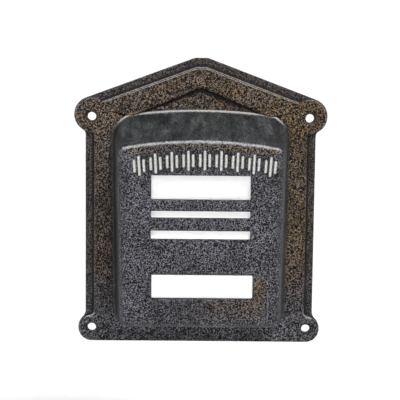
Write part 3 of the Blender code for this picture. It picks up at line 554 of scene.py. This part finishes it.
def add_clamp(tree, value):
    """The value held between 0 and 1."""
    made = add_node(tree, "ShaderNodeClamp")
    tree.links.new(value, made.inputs["Value"])
    return made.outputs["Result"]


def ramp_node(tree, factor, stops):
    """A colour ramp from (position, colour) stops, where a plain number stands for a grey."""
    made = add_node(tree, "ShaderNodeValToRGB")
    elements = made.color_ramp.elements
    while len(elements) < len(stops):
        elements.new(0.5)
    for element, (position, colour) in zip(elements, stops):
        element.position = position
        element.color = (colour, colour, colour, 1.0) if isinstance(colour, float) else (*colour, 1.0)
    tree.links.new(factor, made.inputs["Fac"])
    return made.outputs["Color"]


def mix_colours(tree, factor, first, second, blend="MIX"):
    """A mix of two colours, each a socket or three numbers, by a factor that is a socket or a number."""
    made = add_node(tree, "ShaderNodeMix", data_type="RGBA", blend_type=blend)
    for index, value in ((0, factor), (6, first), (7, second)):
        feed(tree, made.inputs[index], value)
    return made.outputs[2]


def noise_node(tree, vector, scale, detail=2.0, roughness=0.5):
    """The value of a noise whose scale, a socket or a number, is in cells per metre."""
    made = add_node(tree, "ShaderNodeTexNoise")
    for name, value in (("Vector", vector), ("Scale", scale), ("Detail", detail), ("Roughness", roughness)):
        feed(tree, made.inputs[name], value)
    return made.outputs["Fac"]


def smooth_window(tree, value, low, high):
    """0 where the value is below low, 1 where it is above high, and a smooth S between."""
    made = add_node(tree, "ShaderNodeMapRange", interpolation_type="SMOOTHSTEP")
    made.inputs["From Min"].default_value = low
    made.inputs["From Max"].default_value = high
    tree.links.new(value, made.inputs["Value"])
    return made.outputs["Result"]


def new_group(name, scale_name, outputs):
    """An empty node group that takes a Vector and a scale, and gives numbers: its tree, input and output nodes."""
    group = bpy.data.node_groups.new(name, "ShaderNodeTree")
    group.interface.new_socket("Vector", in_out="INPUT", socket_type="NodeSocketVector")
    group.interface.new_socket(scale_name, in_out="INPUT", socket_type="NodeSocketFloat")
    for output in outputs:
        group.interface.new_socket(output, in_out="OUTPUT", socket_type="NodeSocketFloat")
    return group, add_node(group, "NodeGroupInput"), add_node(group, "NodeGroupOutput")


def make_hammer_group():
    """Flakes: 0.42 times thin ridges where a noise passes through a half, plus a noise 1.9 times finer, cut off
    softly below 0.56 and above 0.98. Height is the same before the cut-off. Patches is a slow noise."""
    group, inner, outer = new_group("hammer_lacquer", "Cells", ("Flakes", "Height", "Patches"))
    vector, cells = inner.outputs["Vector"], inner.outputs["Cells"]
    off_line = math_node(group, "ABSOLUTE", minus(group, noise_node(group, vector, cells, 1.0), 0.5), 0.0)
    ridge = math_node(group, "MAXIMUM", minus(group, 1.0, times(group, off_line, 6.5)), 0.0)
    speck = noise_node(group, vector, times(group, cells, 1.9), 2.0, 0.6)
    mixed = plus(group, times(group, ridge, 0.42), speck)
    group.links.new(smooth_window(group, mixed, 0.56, 0.98), outer.inputs["Flakes"])
    group.links.new(mixed, outer.inputs["Height"])
    group.links.new(noise_node(group, vector, 60.0, 3.0), outer.inputs["Patches"])
    return group


def new_material(name):
    """An empty node material: its tree, its Principled shader and its Object coordinates."""
    material = bpy.data.materials.new(name)
    material.use_nodes = True
    tree = material.node_tree
    shader = tree.nodes["Principled BSDF"]
    place = add_node(tree, "ShaderNodeTexCoord")
    return material, tree, shader, place.outputs["Object"]


def add_bump(tree, shader, height, strength, distance):
    """A bump over a height socket, in front of the shader."""
    bump = add_node(tree, "ShaderNodeBump")
    bump.inputs["Strength"].default_value = strength
    bump.inputs["Distance"].default_value = distance
    tree.links.new(height, bump.inputs["Height"])
    tree.links.new(bump.outputs["Normal"], shader.inputs["Normal"])


hammer_group = make_hammer_group()


# ---------------- casting: hammered lacquer
# Black and silver hammer lacquer on the hood, with a bronze cast on the plate around it. It is thin and rubbed
# bright along the raised edges, where painted highlights lie as well, and the hood's sloping top is smoother, with
# faint runs. Painted shade darkens its recesses, its crevices and the sides turned from the light.


def casting_look():
    """Flakes shade a grey and a tan ramp, mixed by how brown the skin is and varied in hue. The smooth skin on top
    is slate with runs and mottles. Wear and painted highlight plus a fine noise bare light metal, and painted shade
    darkens it all."""
    material, tree, shader, place = new_material("hammered_lacquer")
    wear_and_highlight, smooth, brown, pool = (
        add_node(tree, "ShaderNodeAttribute", attribute_name=name).outputs["Fac"]
        for name in ("wear_and_highlight", "smooth", "brown", "pool")
    )
    hammer = add_node(tree, "ShaderNodeGroup", node_tree=hammer_group)
    hammer.inputs["Cells"].default_value = 740.0
    tree.links.new(place, hammer.inputs["Vector"])
    flakes = hammer.outputs["Flakes"]
    grey_stops = [(0.0, (0.003, 0.003, 0.004)), (0.45, (0.028, 0.028, 0.036)), (1.0, (0.175, 0.177, 0.205))]
    tan_stops = [(0.0, (0.002, 0.002, 0.0015)), (0.45, (0.033, 0.024, 0.016)), (1.0, (0.235, 0.170, 0.112))]
    spots = noise_node(tree, place, 45.0, 3.0)
    bronze = add_clamp(tree, times(tree, brown, plus(tree, 0.55, spots)))
    paint = mix_colours(tree, bronze, ramp_node(tree, flakes, grey_stops), ramp_node(tree, flakes, tan_stops))
    hue_stops = [(0.30, (1.30, 0.92, 0.78)), (0.43, (1.05, 1.03, 0.80)), (0.52, 1.0)]
    hue_stops += [(0.62, (0.95, 0.95, 1.12)), (0.75, (0.88, 1.04, 0.92))]
    hue = ramp_node(tree, noise_node(tree, place, 170.0, 2.0, 0.7), hue_stops)
    strength = plus(tree, 0.2, times(tree, brown, 0.7))
    varied = mix_colours(tree, strength, paint, mix_colours(tree, 1.0, paint, hue, "MULTIPLY"))
    patches = ramp_node(tree, hammer.outputs["Patches"], [(0.3, 0.75), (0.7, 1.2)])
    patched = mix_colours(tree, 1.0, varied, patches, "MULTIPLY")
    where = add_node(tree, "ShaderNodeSeparateXYZ")
    tree.links.new(place, where.inputs["Vector"])
    # The parting line of a mould insert, low on the right of the face, drawn in colour alone: a line of painted
    # shade, a painted highlight beside it and a smooth strip on its other side.
    for centre, half_width, low, high, strength, shade in (
        (45.0, 0.32, 14.6, 37.0, 0.8, (0.008, 0.008, 0.009)),
        (45.9, 0.30, 14.6, 33.0, 0.5, (0.130, 0.130, 0.135)),
        (43.6, 1.00, 13.5, 25.0, 0.5, (0.060, 0.063, 0.072)),
    ):
        beside = within(tree, where.outputs["X"], centre * MM, half_width * MM)
        above = within(tree, where.outputs["Z"], (low + high) / 2 * MM, (high - low) / 2 * MM)
        line = times(tree, times(tree, beside, above), strength)
        patched = mix_colours(tree, line, patched, shade)
    runs = add_node(tree, "ShaderNodeMapping")
    runs.inputs["Scale"].default_value = (120.0, 35.0, 35.0)
    tree.links.new(place, runs.inputs["Vector"])
    streak = noise_node(tree, runs.outputs["Vector"], 1.0, 6.0, 0.8)
    slate_stops = [(0.36, (0.012, 0.013, 0.014)), (0.5, (0.034, 0.036, 0.037)), (0.64, (0.072, 0.075, 0.076))]
    mottle = ramp_node(tree, noise_node(tree, place, 800.0, 3.0, 0.7), [(0.35, 0.2), (0.65, 1.8)])
    slate = mix_colours(tree, 0.9, ramp_node(tree, streak, slate_stops), mottle, "MULTIPLY")
    topped = mix_colours(tree, smooth, patched, slate)
    # Wear and painted highlights bare a light metal colour along the edges.
    rub = times(tree, noise_node(tree, place, 800.0, 3.0, 0.75), 0.75)
    worn = smooth_window(tree, plus(tree, times(tree, wear_and_highlight, 0.62), rub), 0.58, 1.0)
    bare = times(tree, worn, add_clamp(tree, times(tree, wear_and_highlight, 6.0)))
    worn_and_highlit = mix_colours(tree, bare, topped, (0.42, 0.41, 0.40))
    # Painted shade darkens the paint; at half strength it still lets the flakes through.
    half_pooled = times(tree, pool, minus(tree, 1.0, pool))
    shown = times(tree, half_pooled, flakes)
    pooled = add_clamp(tree, minus(tree, times(tree, pool, 0.92), shown))
    tree.links.new(mix_colours(tree, pooled, worn_and_highlit, (0.004, 0.004, 0.004)), shader.inputs["Base Color"])
    shader.inputs["Metallic"].default_value = 0.1
    shader.inputs["Specular IOR Level"].default_value = 0.15
    rough = minus(tree, 0.52, times(tree, flakes, 0.14))
    tree.links.new(rough, shader.inputs["Roughness"])
    calm = minus(tree, 1.0, times(tree, smooth, 0.85))
    add_bump(tree, shader, times(tree, hammer.outputs["Height"], calm), 0.6, 0.0005)
    return material


boss_profile = [(0, -44.0), (4.0, -44.0), (3.75, -39.6), (3.65, -39.4), (3.45, -39.3), (1.4, -39.3)]
boss_profile += [(1.3, -39.5), (1.3, -43.0), (0, -43.0)]
boss_places = [(side * 46.8, z) for side in (-1, 1) for z in (27.0, 123.0)]
bosses = skin_object("bosses", [turned_rings(place, boss_profile, 32) for place in boss_places])
lacquer = casting_look()
for piece in (casting, bosses):
    piece.data.materials.clear()
    piece.data.materials.append(lacquer)
    piece.data.shade_smooth()
    piece.data.set_sharp_from_angle(angle=np.radians(40))
    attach(piece, "root")
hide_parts("front_casting")


# ---------------- raised marks
# Nine groups of three rounded bars, cast with the face on an arc and painted silver by hand. They stand where
# the front carried raised lettering.


def bar_surface(middle, lean, length):
    """One bar. Its foot is a stadium of radius 1 mm, made a little uneven by 5 waves of 5 percent. A ring at h of
    its height of 1.15 mm is that stadium moved in by 0.2 h + 0.45 (1 - sqrt(1 - h^2)), and both ends close on the
    bar's long axis."""
    h = np.array([0.0, 0.0, 0.25, 0.5, 0.7, 0.85, 0.95, 1.0, 1.0])[:, None]
    a = np.radians(np.r_[np.linspace(0, 180, 13), np.linspace(180, 360, 13)])
    radius = 1.0 - 0.2 * h - 0.45 * (1 - np.sqrt(1 - h * h))
    radius[[0, -1]] = 0.0
    radius = radius * (1 + 0.05 * np.sin(5 * a + 0.7 * middle[0] + 2.3 * length))
    along = np.repeat([1.0, -1.0], 13) * (length / 2 - 1.0) + radius * np.sin(a)
    over = radius * np.cos(a)
    x = middle[0] + over * np.cos(lean) + along * np.sin(lean)
    z = middle[1] - over * np.sin(lean) + along * np.cos(lean)
    return np.stack([x, -46.7 - 1.15 * h + 0 * a, z], -1) * MM


bar_parts = []
for group in range(-4, 5):
    lean = np.radians(4.0) * group / 4
    for bar, length in ((-1, 9.0), (0, 13.6), (1, 9.0)):
        over, down = bar * 3.2 * np.cos(lean), bar * 3.2 * np.sin(lean)
        middle = (2.4 + group * 11.0 + over, 123.6 - 4.0 * (group / 4) ** 2 - down)
        bar_parts.append(bar_surface(middle, lean, length))
bars = skin_object("raised_marks", bar_parts)


def silver_look():
    """Hand-laid silver paint: a fine noise shades it, roughens it and raises it."""
    material, tree, shader, place = new_material("silver_paint")
    grain = noise_node(tree, place, 900.0, 3.0, 0.6)
    stops = [(0.30, (0.22, 0.22, 0.21)), (0.5, (0.50, 0.50, 0.47)), (0.75, (0.72, 0.72, 0.69))]
    tree.links.new(ramp_node(tree, grain, stops), shader.inputs["Base Color"])
    shader.inputs["Metallic"].default_value = 0.35
    rough = plus(tree, 0.28, times(tree, grain, 0.2))
    tree.links.new(rough, shader.inputs["Roughness"])
    add_bump(tree, shader, grain, 0.5, 0.0004)
    return material


bars.data.materials.append(silver_look())
bars.data.shade_smooth()
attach(bars, "root")


# ---------------- finishes of the module and the seal
# Moulded, stamped and bought-in pieces behind the front, each with a finish of its own.


def make_grain_group():
    """Shade: 0.6 times a fine noise plus 0.4 times a slow one. Height is the fine noise alone."""
    group, inner, outer = new_group("fine_grain", "Grains", ("Shade", "Height"))
    grain = noise_node(group, inner.outputs["Vector"], inner.outputs["Grains"], 3.0, 0.6)
    slow = times(group, noise_node(group, inner.outputs["Vector"], 90.0, 2.0), 0.4)
    group.links.new(plus(group, times(group, grain, 0.6), slow), outer.inputs["Shade"])
    group.links.new(grain, outer.inputs["Height"])
    return group


grain_group = make_grain_group()


def plain_look(name, dark, light, roughness, grains, bump=0.0002, metallic=0.0, glow=0.0, clear=0.0, woven=0.0):
    """A finish with a fine grain in its colour, its roughness and its height. A woven one has threads too: two
    sine waves crossed at right angles, with their threads this far apart in metres."""
    material, tree, shader, place = new_material(f"{name}_finish")
    grain = add_node(tree, "ShaderNodeGroup", node_tree=grain_group)
    grain.inputs["Grains"].default_value = grains
    tree.links.new(place, grain.inputs["Vector"])
    shade, height = grain.outputs["Shade"], grain.outputs["Height"]
    if woven:
        threads = []
        for direction in ("X", "Z"):
            wave = add_node(tree, "ShaderNodeTexWave", wave_type="BANDS", bands_direction=direction)
            wave.inputs["Scale"].default_value = 0.314 / woven
            tree.links.new(place, wave.inputs["Vector"])
            threads.append(wave.outputs["Fac"])
        cloth = math_node(tree, "MAXIMUM", *threads)
        height = plus(tree, times(tree, height, 0.3), cloth)
        shade = plus(tree, times(tree, shade, 0.4), times(tree, cloth, 0.4))
    colour = ramp_node(tree, shade, [(0.35, dark), (0.65, light)])
    tree.links.new(colour, shader.inputs["Base Color"])
    rough = plus(tree, roughness - 0.06, times(tree, shade, 0.12))
    tree.links.new(rough, shader.inputs["Roughness"])
    shader.inputs["Metallic"].default_value = metallic
    shader.inputs["Transmission Weight"].default_value = clear
    # A glow is painted light: the finish gives off its own colour though no lamp shines on it.
    if glow:
        tree.links.new(colour, shader.inputs["Emission Color"])
        shader.inputs["Emission Strength"].default_value = glow
    add_bump(tree, shader, height, 0.3, bump)
    return material


finishes = {
    "black_rubber": (0.012, 0.03, 0.8, 2500),
    "clear_lens": ((0.95, 0.96, 0.96), 1.0, 0.08, 300, {"bump": 0.00002, "clear": 1.0}),
    # The name card, the diffuser and the cloth glow a little: painted light that keeps them white behind the openings,
    # though no lamp lights them from behind.
    "white_card": ((0.86, 0.86, 0.85), (0.93, 0.93, 0.92), 0.8, 4000, {"glow": 0.4}),
    "opal_acrylic": ((0.80, 0.80, 0.78), (0.9, 0.9, 0.88), 0.4, 500, {"glow": 0.25}),
    "white_cloth": ((0.72, 0.72, 0.71), (0.93, 0.93, 0.92), 0.9, 3000, {"glow": 0.35, "woven": 0.0007}),
    "white_button": ((0.66, 0.66, 0.65), (0.72, 0.72, 0.71), 0.35, 1500),
    "grey_moulding": ((0.18, 0.19, 0.20), (0.24, 0.25, 0.26), 0.5, 3000),
    "black_moulding": (0.02, 0.04, 0.4, 3000),
    "green_moulding": ((0.04, 0.30, 0.11), (0.07, 0.40, 0.16), 0.45, 2000),
    "blue_moulding": ((0.03, 0.11, 0.40), (0.05, 0.16, 0.5), 0.4, 2000),
    "zinc_steel": ((0.5, 0.5, 0.48), (0.68, 0.68, 0.66), 0.32, 1200, {"metallic": 1.0}),
    "spring_steel": ((0.45, 0.45, 0.44), (0.62, 0.62, 0.6), 0.28, 1500, {"metallic": 1.0}),
    "ferrite": ((0.05, 0.05, 0.055), (0.09, 0.09, 0.095), 0.6, 2500, {"metallic": 0.1}),
    "paper_cone": ((0.04, 0.04, 0.045), (0.07, 0.07, 0.075), 0.85, 3500),
    "copper_winding": ((0.60, 0.28, 0.15), (0.78, 0.42, 0.25), 0.35, 2500, {"metallic": 1.0}),
    "green_laminate": ((0.02, 0.15, 0.07), (0.04, 0.23, 0.1), 0.4, 900),
}
looks_by_slot = {slot: plain_look(slot, *values[:4], **dict(*values[4:])) for slot, values in finishes.items()}
for entry in frame["record"]["subparts"]:
    node = frame["nodes"][entry["node"]]
    look = looks_by_slot.get(entry["material_slot"])
    if look:
        node.data.materials.clear()
        node.data.materials.append(look)


def finish_piece(piece, slot, body, *nodes, angle=35):
    """Gives a piece its finish, its smooth shading and its place in the frame, and hides the nodes it stands for."""
    piece.data.materials.clear()
    piece.data.materials.append(looks_by_slot[slot])
    piece.data.shade_smooth()
    piece.data.set_sharp_from_angle(angle=np.radians(angle))
    piece.modifiers.new("flat_faces_stay_flat", "WEIGHTED_NORMAL").keep_sharp = True
    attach(piece, body)
    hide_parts(*nodes)


# ---------------- call bar
# One moulding in white acetal: a softly domed bar in the opening, a flange that rests against the inside of the
# face, a stem that presses the switch and two spring guides. It slides straight in, held by its flange.

GUIDE_OFFSET, BEHIND_FACE = 24, -43.5

edge_turn = np.radians([0, 20, 40, 60, 78, 90])
edge_grow = -0.8 * (1 - np.sin(edge_turn))
bar_rows = [(-s, -46.3 + 0.45 * (1 - s / 8.1) ** 2) for s in (8.1, 7.2, 6.0, 4.6, 3.2, 2.0, 1.2)]
bar_rows += [*zip(edge_grow, -45.85 + 0.8 * (1 - np.cos(edge_turn))), (0, -43.9), (0.05, -43.6)]
bar_rows += [(0.3, BEHIND_FACE), (2.6, 2.1, BEHIND_FACE), (3.0, 2.4, -43.35), (3.05, 2.45, -43.1)]
bar_rows += [(3.05, 2.45, -42.2), (2.9, 2.3, -41.95), (2.6, 2.0, -41.9), (-8.1, -41.9)]
stem = [(0, -42.6), (2.5, -42.6), (2.5, -28.9), (2.3, -28.5), (1.9, -28.3), (0, -28.3)]
pin = [(0, -42.6), (1.2, -42.6), (1.2, -36.2), (0.9, -35.7), (0, -35.6)]
guides = [(CALL_PLACE[0] + side * GUIDE_OFFSET, CALL_PLACE[1]) for side in (-1, 1)]
button_grids = [plate_rings(CALL_PLACE, (68.7, 16.2), 1.2, bar_rows, steps=(24, 8)), turned_rings(CALL_PLACE, stem)]
button_grids += [turned_rings(middle, pin, 24) for middle in guides]
finish_piece(skin_object("call_bar", button_grids), "white_button", "call_button", "call_button")


# ---------------- return springs of the call bar
# Two spring steel compression springs over the bar's guides, from its flange to the floors of two wells in the
# module's frame. Their end turns lie closed.


def spring_rings(middle, front, back):
    """A round wire, 0.25 mm in radius, carried along a helix of 2.2 mm radius about Y, 6.5 turns in all. The rise
    of each turn is two wire radii at both ends and swells smoothly between them, so that the wire just reaches
    from front to back. The wire's section stands square to the helix."""
    turns = np.linspace(0, 6.5, 260)
    swell = smooth_step(turns, 0.6, 1.3) * (1 - smooth_step(turns, 5.2, 5.9))
    step = turns[1] - turns[0]
    closed = 0.5 * turns
    opened = np.cumsum(swell) * step
    y = front + 0.25 + closed + opened * (back - front - 0.5 - closed[-1]) / opened[-1]
    a = 2 * np.pi * turns
    rise = np.gradient(y, a)
    outward = np.stack([np.cos(a), 0 * a, np.sin(a)], 1)
    along = np.stack([-2.2 * np.sin(a), rise, 2.2 * np.cos(a)], 1)
    along /= np.linalg.norm(along, axis=1)[:, None]
    square = np.cross(along, outward)
    centre = np.stack([middle[0] + 2.2 * np.cos(a), y, middle[1] + 2.2 * np.sin(a)], 1)
    around = np.linspace(0, 2 * np.pi, 10, endpoint=False)[None, :, None]
    wire = 0.25 * (outward[:, None] * np.cos(around) + square[:, None] * np.sin(around))
    return capped(centre[:, None] + wire) * MM


SPRING_FRONT, SPRING_BACK, BAR_TRAVEL = -41.6, -33.5, 1.5
for middle, name in zip(guides, ("button_spring_left", "button_spring_right")):
    spring = skin_object(f"return_{name}", [spring_rings(middle, SPRING_FRONT, SPRING_BACK)])
    finish_piece(spring, "spring_steel", "root", name, angle=60)
    length = SPRING_BACK - SPRING_FRONT
    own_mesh(spring)


# ---------------- name card window
# A clear polycarbonate pane that fills the opening, with a bevelled edge, on a flange behind the face.

pane_rows = [(-7.8, -45.6), (-1.4, -45.6), (-1.0, -45.57), (-0.5, -45.3), (-0.2, -45.0), (0, -44.7), (0, -43.6)]
pane_rows += [(0.2, BEHIND_FACE), (3.7, 2.1, BEHIND_FACE), (4.0, 2.4, -43.3), (4.0, 2.4, -42.2), (3.8, 2.2, -42.0)]
pane_rows += [(-7.8, -42.0)]
pane = skin_object("card_window", [plate_rings(NAME_PLACE, (66.0, 15.6), 0.6, pane_rows)])
finish_piece(pane, "clear_lens", "root", "name_card_lens")


# ---------------- speaker cloth
# White water-repellent acoustic cloth behind the two sound slots, cut to a rectangle with round corners and glued
# flat to the module's frame, so it is stretched, with only the faintest ripple left in it.

insets = (13.25, 11, 9, 7, 5, 3.5, 2, 1, 0.4)
cloth_rows = [(-s, -43.42) for s in insets] + [(0, -43.36), (0, -43.14)] + [(-s, -43.08) for s in insets[::-1]]
cloth_rings = plate_rings((0, 79.75), (74.0, 26.5), 1.0, cloth_rows, steps=(60, 20))
# The ripple: 0.05 mm times the sine of x / 3 mm plus z / 5 mm.
cloth_rings[..., 1] += 0.05 * MM * np.sin(cloth_rings[..., 0] / (3 * MM) + cloth_rings[..., 2] / (5 * MM))
cloth = skin_object("acoustic_cloth", [cloth_rings])
finish_piece(cloth, "white_cloth", "root", "speaker_cloth")


# ---------------- wall gasket
# Moulded rubber, 2 mm thick, cut to the plate's outline and open behind the hood. Two lips on its back press
# against the wall, and the four fixing screws pass through it.


def gasket_rings():
    """Lines from the plate's outline, 1 mm in, to the hood's, 2 mm in. Along each line the front is flat. The back
    is flat too, less two grooves 0.5 mm deep shaped as a parabola. Both edges are rounded to 0.4 mm."""
    outer, inner = house_line(1.0, 1.0, 5.0, 9.0), hood_line(-2.0, 2.0)
    length = np.hypot(*(inner - outer).T)[:, None] / MM
    rounding = ((0.4, -2.0), (0.12, -1.88), (0.0, -1.6), (0.0, -0.4), (0.12, -0.12), (0.4, 0.0))
    across = [(inset / length, y) for inset, y in rounding]
    for t in np.linspace(0.04, 0.96, 40)[1:-1]:
        groove = 0.5 * max(0.0, 1 - (min(abs(t - 0.18), abs(t - 0.82)) / 0.06) ** 2)
        across.append((0.4 / length + (1 - 0.8 / length) * t, -groove))
    across += [(1 - inset / length, y) for inset, y in rounding[::-1]]
    return np.stack([np.insert(outer + (inner - outer) * share, 1, y * MM, axis=1) for share, y in across])


gasket = skin_object("gasket", [gasket_rings()], looped=True)
passage = [(3.6, -2.6), (3.5, -2.0), (3.4, -1.8), (3.4, -0.2), (3.5, 0.0), (3.6, 0.6)]
cut_away(gasket, [skin_object("passage", [capped(turned_rings(place, passage, 40))]) for place in holes])
finish_piece(gasket, "black_rubber", "root", "wall_gasket")


# ---------------- rear cover and cable grommet
# An injection moulded lid with rounded edges and a shallow field for a rating label. It is screwed to four posts
# of the module's frame. The grommet snaps into it and seals the bell cable where it enters.

GROMMET_PLACE = (0, 36)

cover_rows = [(-42, -9.0), (-0.5, -9.0), (-0.15, -8.85), (0, -8.5), (0, -7.7), (-0.12, -7.3), (-0.4, -7.05)]
cover_rows += [(-0.8, -7.0), (-1.6, -7.0), (-2.0, -7.15), (-2.4, -7.15), (-2.8, -7.0), (-42, -7.0)]
cover = skin_object("rear_cover", [plate_rings((0, 75), (84, 106), 2.0, cover_rows, steps=(12, 12))])

# Its openings are straight, and flare where they leave its outer face. The round ones are for the bell cable, the
# adjuster and four screws.
straight_rows = [(0, -9.6), (0, -7.35), (0.1, -7.15), (0.35, -7.0), (0.9, -6.4)]
label_rows = [(0, -7.3), (0.1, -7.0), (0.5, -6.5)]
cuts = [
    skin_object("terminal_cut", [capped(plate_rings((0, 61), (26, 13), 0.8, straight_rows))]),
    skin_object("label_cut", [capped(plate_rings((0, 97), (50, 26), 1.5, label_rows))]),
]
cover_screw_places = [(side * 37.4, z) for side in (-1, 1) for z in (25.6, 124.4)]
round_rows = [(0, -9.6), (0, -7.3), (0.1, -7.1), (0.35, -6.95), (0.9, -6.4)]
for place, radius in ((GROMMET_PLACE, 6.2), ((24, 60), 3.0), *((place, 1.4) for place in cover_screw_places)):
    profile = [(radius + grow, y) for grow, y in round_rows]
    cuts.append(skin_object("round_cut", [capped(turned_rings(place, profile, 48))]))
cut_away(cover, cuts)
finish_piece(cover, "grey_moulding", "root", "back_cover")

grommet_profile = [(3.1, -10.4), (3.3, -10.6), (7.2, -10.6), (7.6, -10.3), (7.6, -9.5), (7.4, -9.3), (6.1, -9.3)]
grommet_profile += [(5.9, -9.1), (5.9, -6.9), (6.1, -6.7), (7.3, -6.7), (7.6, -6.45), (7.5, -6.1), (6.9, -5.4)]
grommet_profile += [(6.3, -5.13), (5.4, -5.1), (4.4, -5.15), (3.5, -5.3), (3.15, -5.6), (3.1, -6.0), (3.0, -7.2)]
grommet_profile += [(3.25, -8.2), (3.0, -9.2), (3.1, -10.0)]
grommet = skin_object("grommet", [turned_rings(GROMMET_PLACE, grommet_profile, 56)], looped=True)
finish_piece(grommet, "black_rubber", "root", "cable_grommet")


# ---------------- screws
# Zinc-plated pan heads with a cross recess, seen from behind: four hold the rear cover, four hold the module to
# the hood's bosses, and four slotted ones clamp the wires in the terminal block.


def screw_rings(place, head_r, seat, crown, shaft_r, tip, arms):
    """A screw turned about Y, its head towards +Y. The crown is domed as 1 - 0.35 (r / R)^2 of the head's height.
    The recess sinks it by 0.55 of that height wherever a point lies within 0.16 R of one of its arms and
    within 0.62 R of the axis, for the cross, or right across the head, for the slot. The shaft carries a wave
    of 0.7 mm pitch for its thread."""
    a = np.linspace(0, 2 * np.pi, 64, endpoint=False)
    height, recess_turn = crown - seat, 0.4
    rings = []

    def add(radius, y):
        """Adds a ring of one radius, at one depth or at one for each of its points."""
        y = np.broadcast_to(y, a.shape)
        rings.append(np.stack([place[0] + radius * np.cos(a), y, place[1] + radius * np.sin(a)], 1))

    add(0.0, tip)
    add(shaft_r * 0.5, tip)
    for y in np.linspace(tip + 0.4, seat, 48):
        add(shaft_r * (1 + 0.10 * np.sin(2 * np.pi * y / 0.7)), y)
    add(head_r * 0.97, seat)
    add(head_r, seat + 0.12 * height)
    for share in np.linspace(1.0, 0.0, 26):
        radius = head_r * share
        top = seat + height * (1 - 0.35 * share**2 - 0.25 * smooth_step(share, 0.85, 1.0))
        x, z = radius * np.cos(a + recess_turn), radius * np.sin(a + recess_turn)
        off = np.minimum(np.abs(x), np.abs(z)) if arms == 4 else np.abs(z)
        reach = 1 - smooth_step(share, 0.58, 0.68) if arms == 4 else 1.0
        cut = (1 - smooth_step(off / head_r, 0.13, 0.20)) * reach
        add(radius, top - 0.55 * height * cut)
    return np.array(rings) * MM


clamp_places = [((number - 1.5) * 5, 62) for number in range(4)]
for kind, node, places, sizes in (
    ("lid_screw", "cover_screw", cover_screw_places, (2.3, -6.7, -5.2, 0.9, -15.5, 4)),
    ("hood_screw", "module_screw", boss_places, (2.7, -36.5, -34.5, 1.2, -42.6, 4)),
    ("clamp_screw", "terminal_screw", clamp_places, (1.8, -13.4, -11.5, 1.0, -13.4, 2)),
):
    for number, place in enumerate(places, 1):
        screw = skin_object(f"{kind}_{number}", [screw_rings(place, *sizes)])
        finish_piece(screw, "zinc_steel", "root", f"{node}_{number}", angle=50)


# ---------------- floor, light and camera
# A pale floor under the panel, a large soft light above and in front, and one weak fill from the left. The world
# is brightest near the horizon.

FLOOR_Z, FLOOR_REACH, FLOOR_LINES = -130 * MM, 25, 13


def floor_grid():
    """The points and faces of a flat square grid, 50 m wide, 130 mm below the panel's lower screws."""
    x, y = np.meshgrid(*[np.linspace(-FLOOR_REACH, FLOOR_REACH, FLOOR_LINES)] * 2)
    index = np.arange(FLOOR_LINES**2).reshape(FLOOR_LINES, FLOOR_LINES)
    faces = np.stack([index[:-1, :-1], index[:-1, 1:], index[1:, 1:], index[1:, :-1]], -1)
    return np.stack([x, y, np.full_like(x, FLOOR_Z)], -1).reshape(-1, 3), faces.reshape(-1, 4)


floor_points, floor_faces = floor_grid()
floor_mesh = bpy.data.meshes.new("floor")
floor_mesh.from_pydata(floor_points, [], floor_faces.tolist())
floor = bpy.data.objects.new("floor", floor_mesh)
scene.collection.objects.link(floor)
floor_mesh.materials.append(plain_look("pale_floor", 0.90, 0.94, 0.8, 3.0, bump=0.0))
floor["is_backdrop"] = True

world = bpy.data.worlds.new("studio")
scene.world = world
world.use_nodes = True
sky = world.node_tree
way = add_node(sky, "ShaderNodeTexCoord")
parts = add_node(sky, "ShaderNodeSeparateXYZ")
sky.links.new(way.outputs["Generated"], parts.inputs["Vector"])
steep = math_node(sky, "ABSOLUTE", parts.outputs["Z"], 0.0)
glow = ramp_node(sky, steep, [(0.04, 1.15), (0.2, (0.42, 0.42, 0.43))])
sky.links.new(glow, sky.nodes["Background"].inputs["Color"])

key = bpy.data.lights.new("key_light", "SUN")
key.energy = 3.2
key.angle = np.radians(14)
fill = bpy.data.lights.new("fill_left", "AREA")
fill.shape = "RECTANGLE"
fill.size, fill.size_y = 0.5, 0.8
fill.energy = 3
aims = ((key, (0, 0, 0), (-0.30, 0.62, -0.80)), (fill, (-0.9, -0.9, 0.35), (0.9, 0.9, -0.26)))
for lamp, place, direction in aims:
    light = bpy.data.objects.new(lamp.name, lamp)
    light.location = place
    light.rotation_euler = Vector(direction).to_track_quat("-Z", "Y").to_euler()
    scene.collection.objects.link(light)

turn, tilt, roll = np.radians(-0.75), np.radians(8.02), np.radians(0.65)
back = Vector((np.sin(turn) * np.cos(tilt), -np.cos(turn) * np.cos(tilt), np.sin(tilt)))
right = Vector((np.cos(turn), np.sin(turn), 0.0))
up = back.cross(right)
camera_data = bpy.data.cameras.new("camera")
camera = bpy.data.objects.new("camera", camera_data)
scene.collection.objects.link(camera)
camera_data.sensor_width = 36.0
camera_data.lens = 129.231
camera_data.clip_start = 0.05
basis = Matrix((right, up, back)).transposed().to_4x4()
place = Vector((0, -10 * MM, 91 * MM)) + back - right * (0.11 * MM) + up * (0.85 * MM)
camera.matrix_world = Matrix.Translation(place) @ basis @ Matrix.Rotation(roll, 4, "Z")
scene.camera = camera
scene.view_settings.view_transform = "Standard"

boxes = {"cad": cad_box, "visual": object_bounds()}
{name: [[round(v, 5) for v in corner] for corner in box] for name, box in boxes.items()}
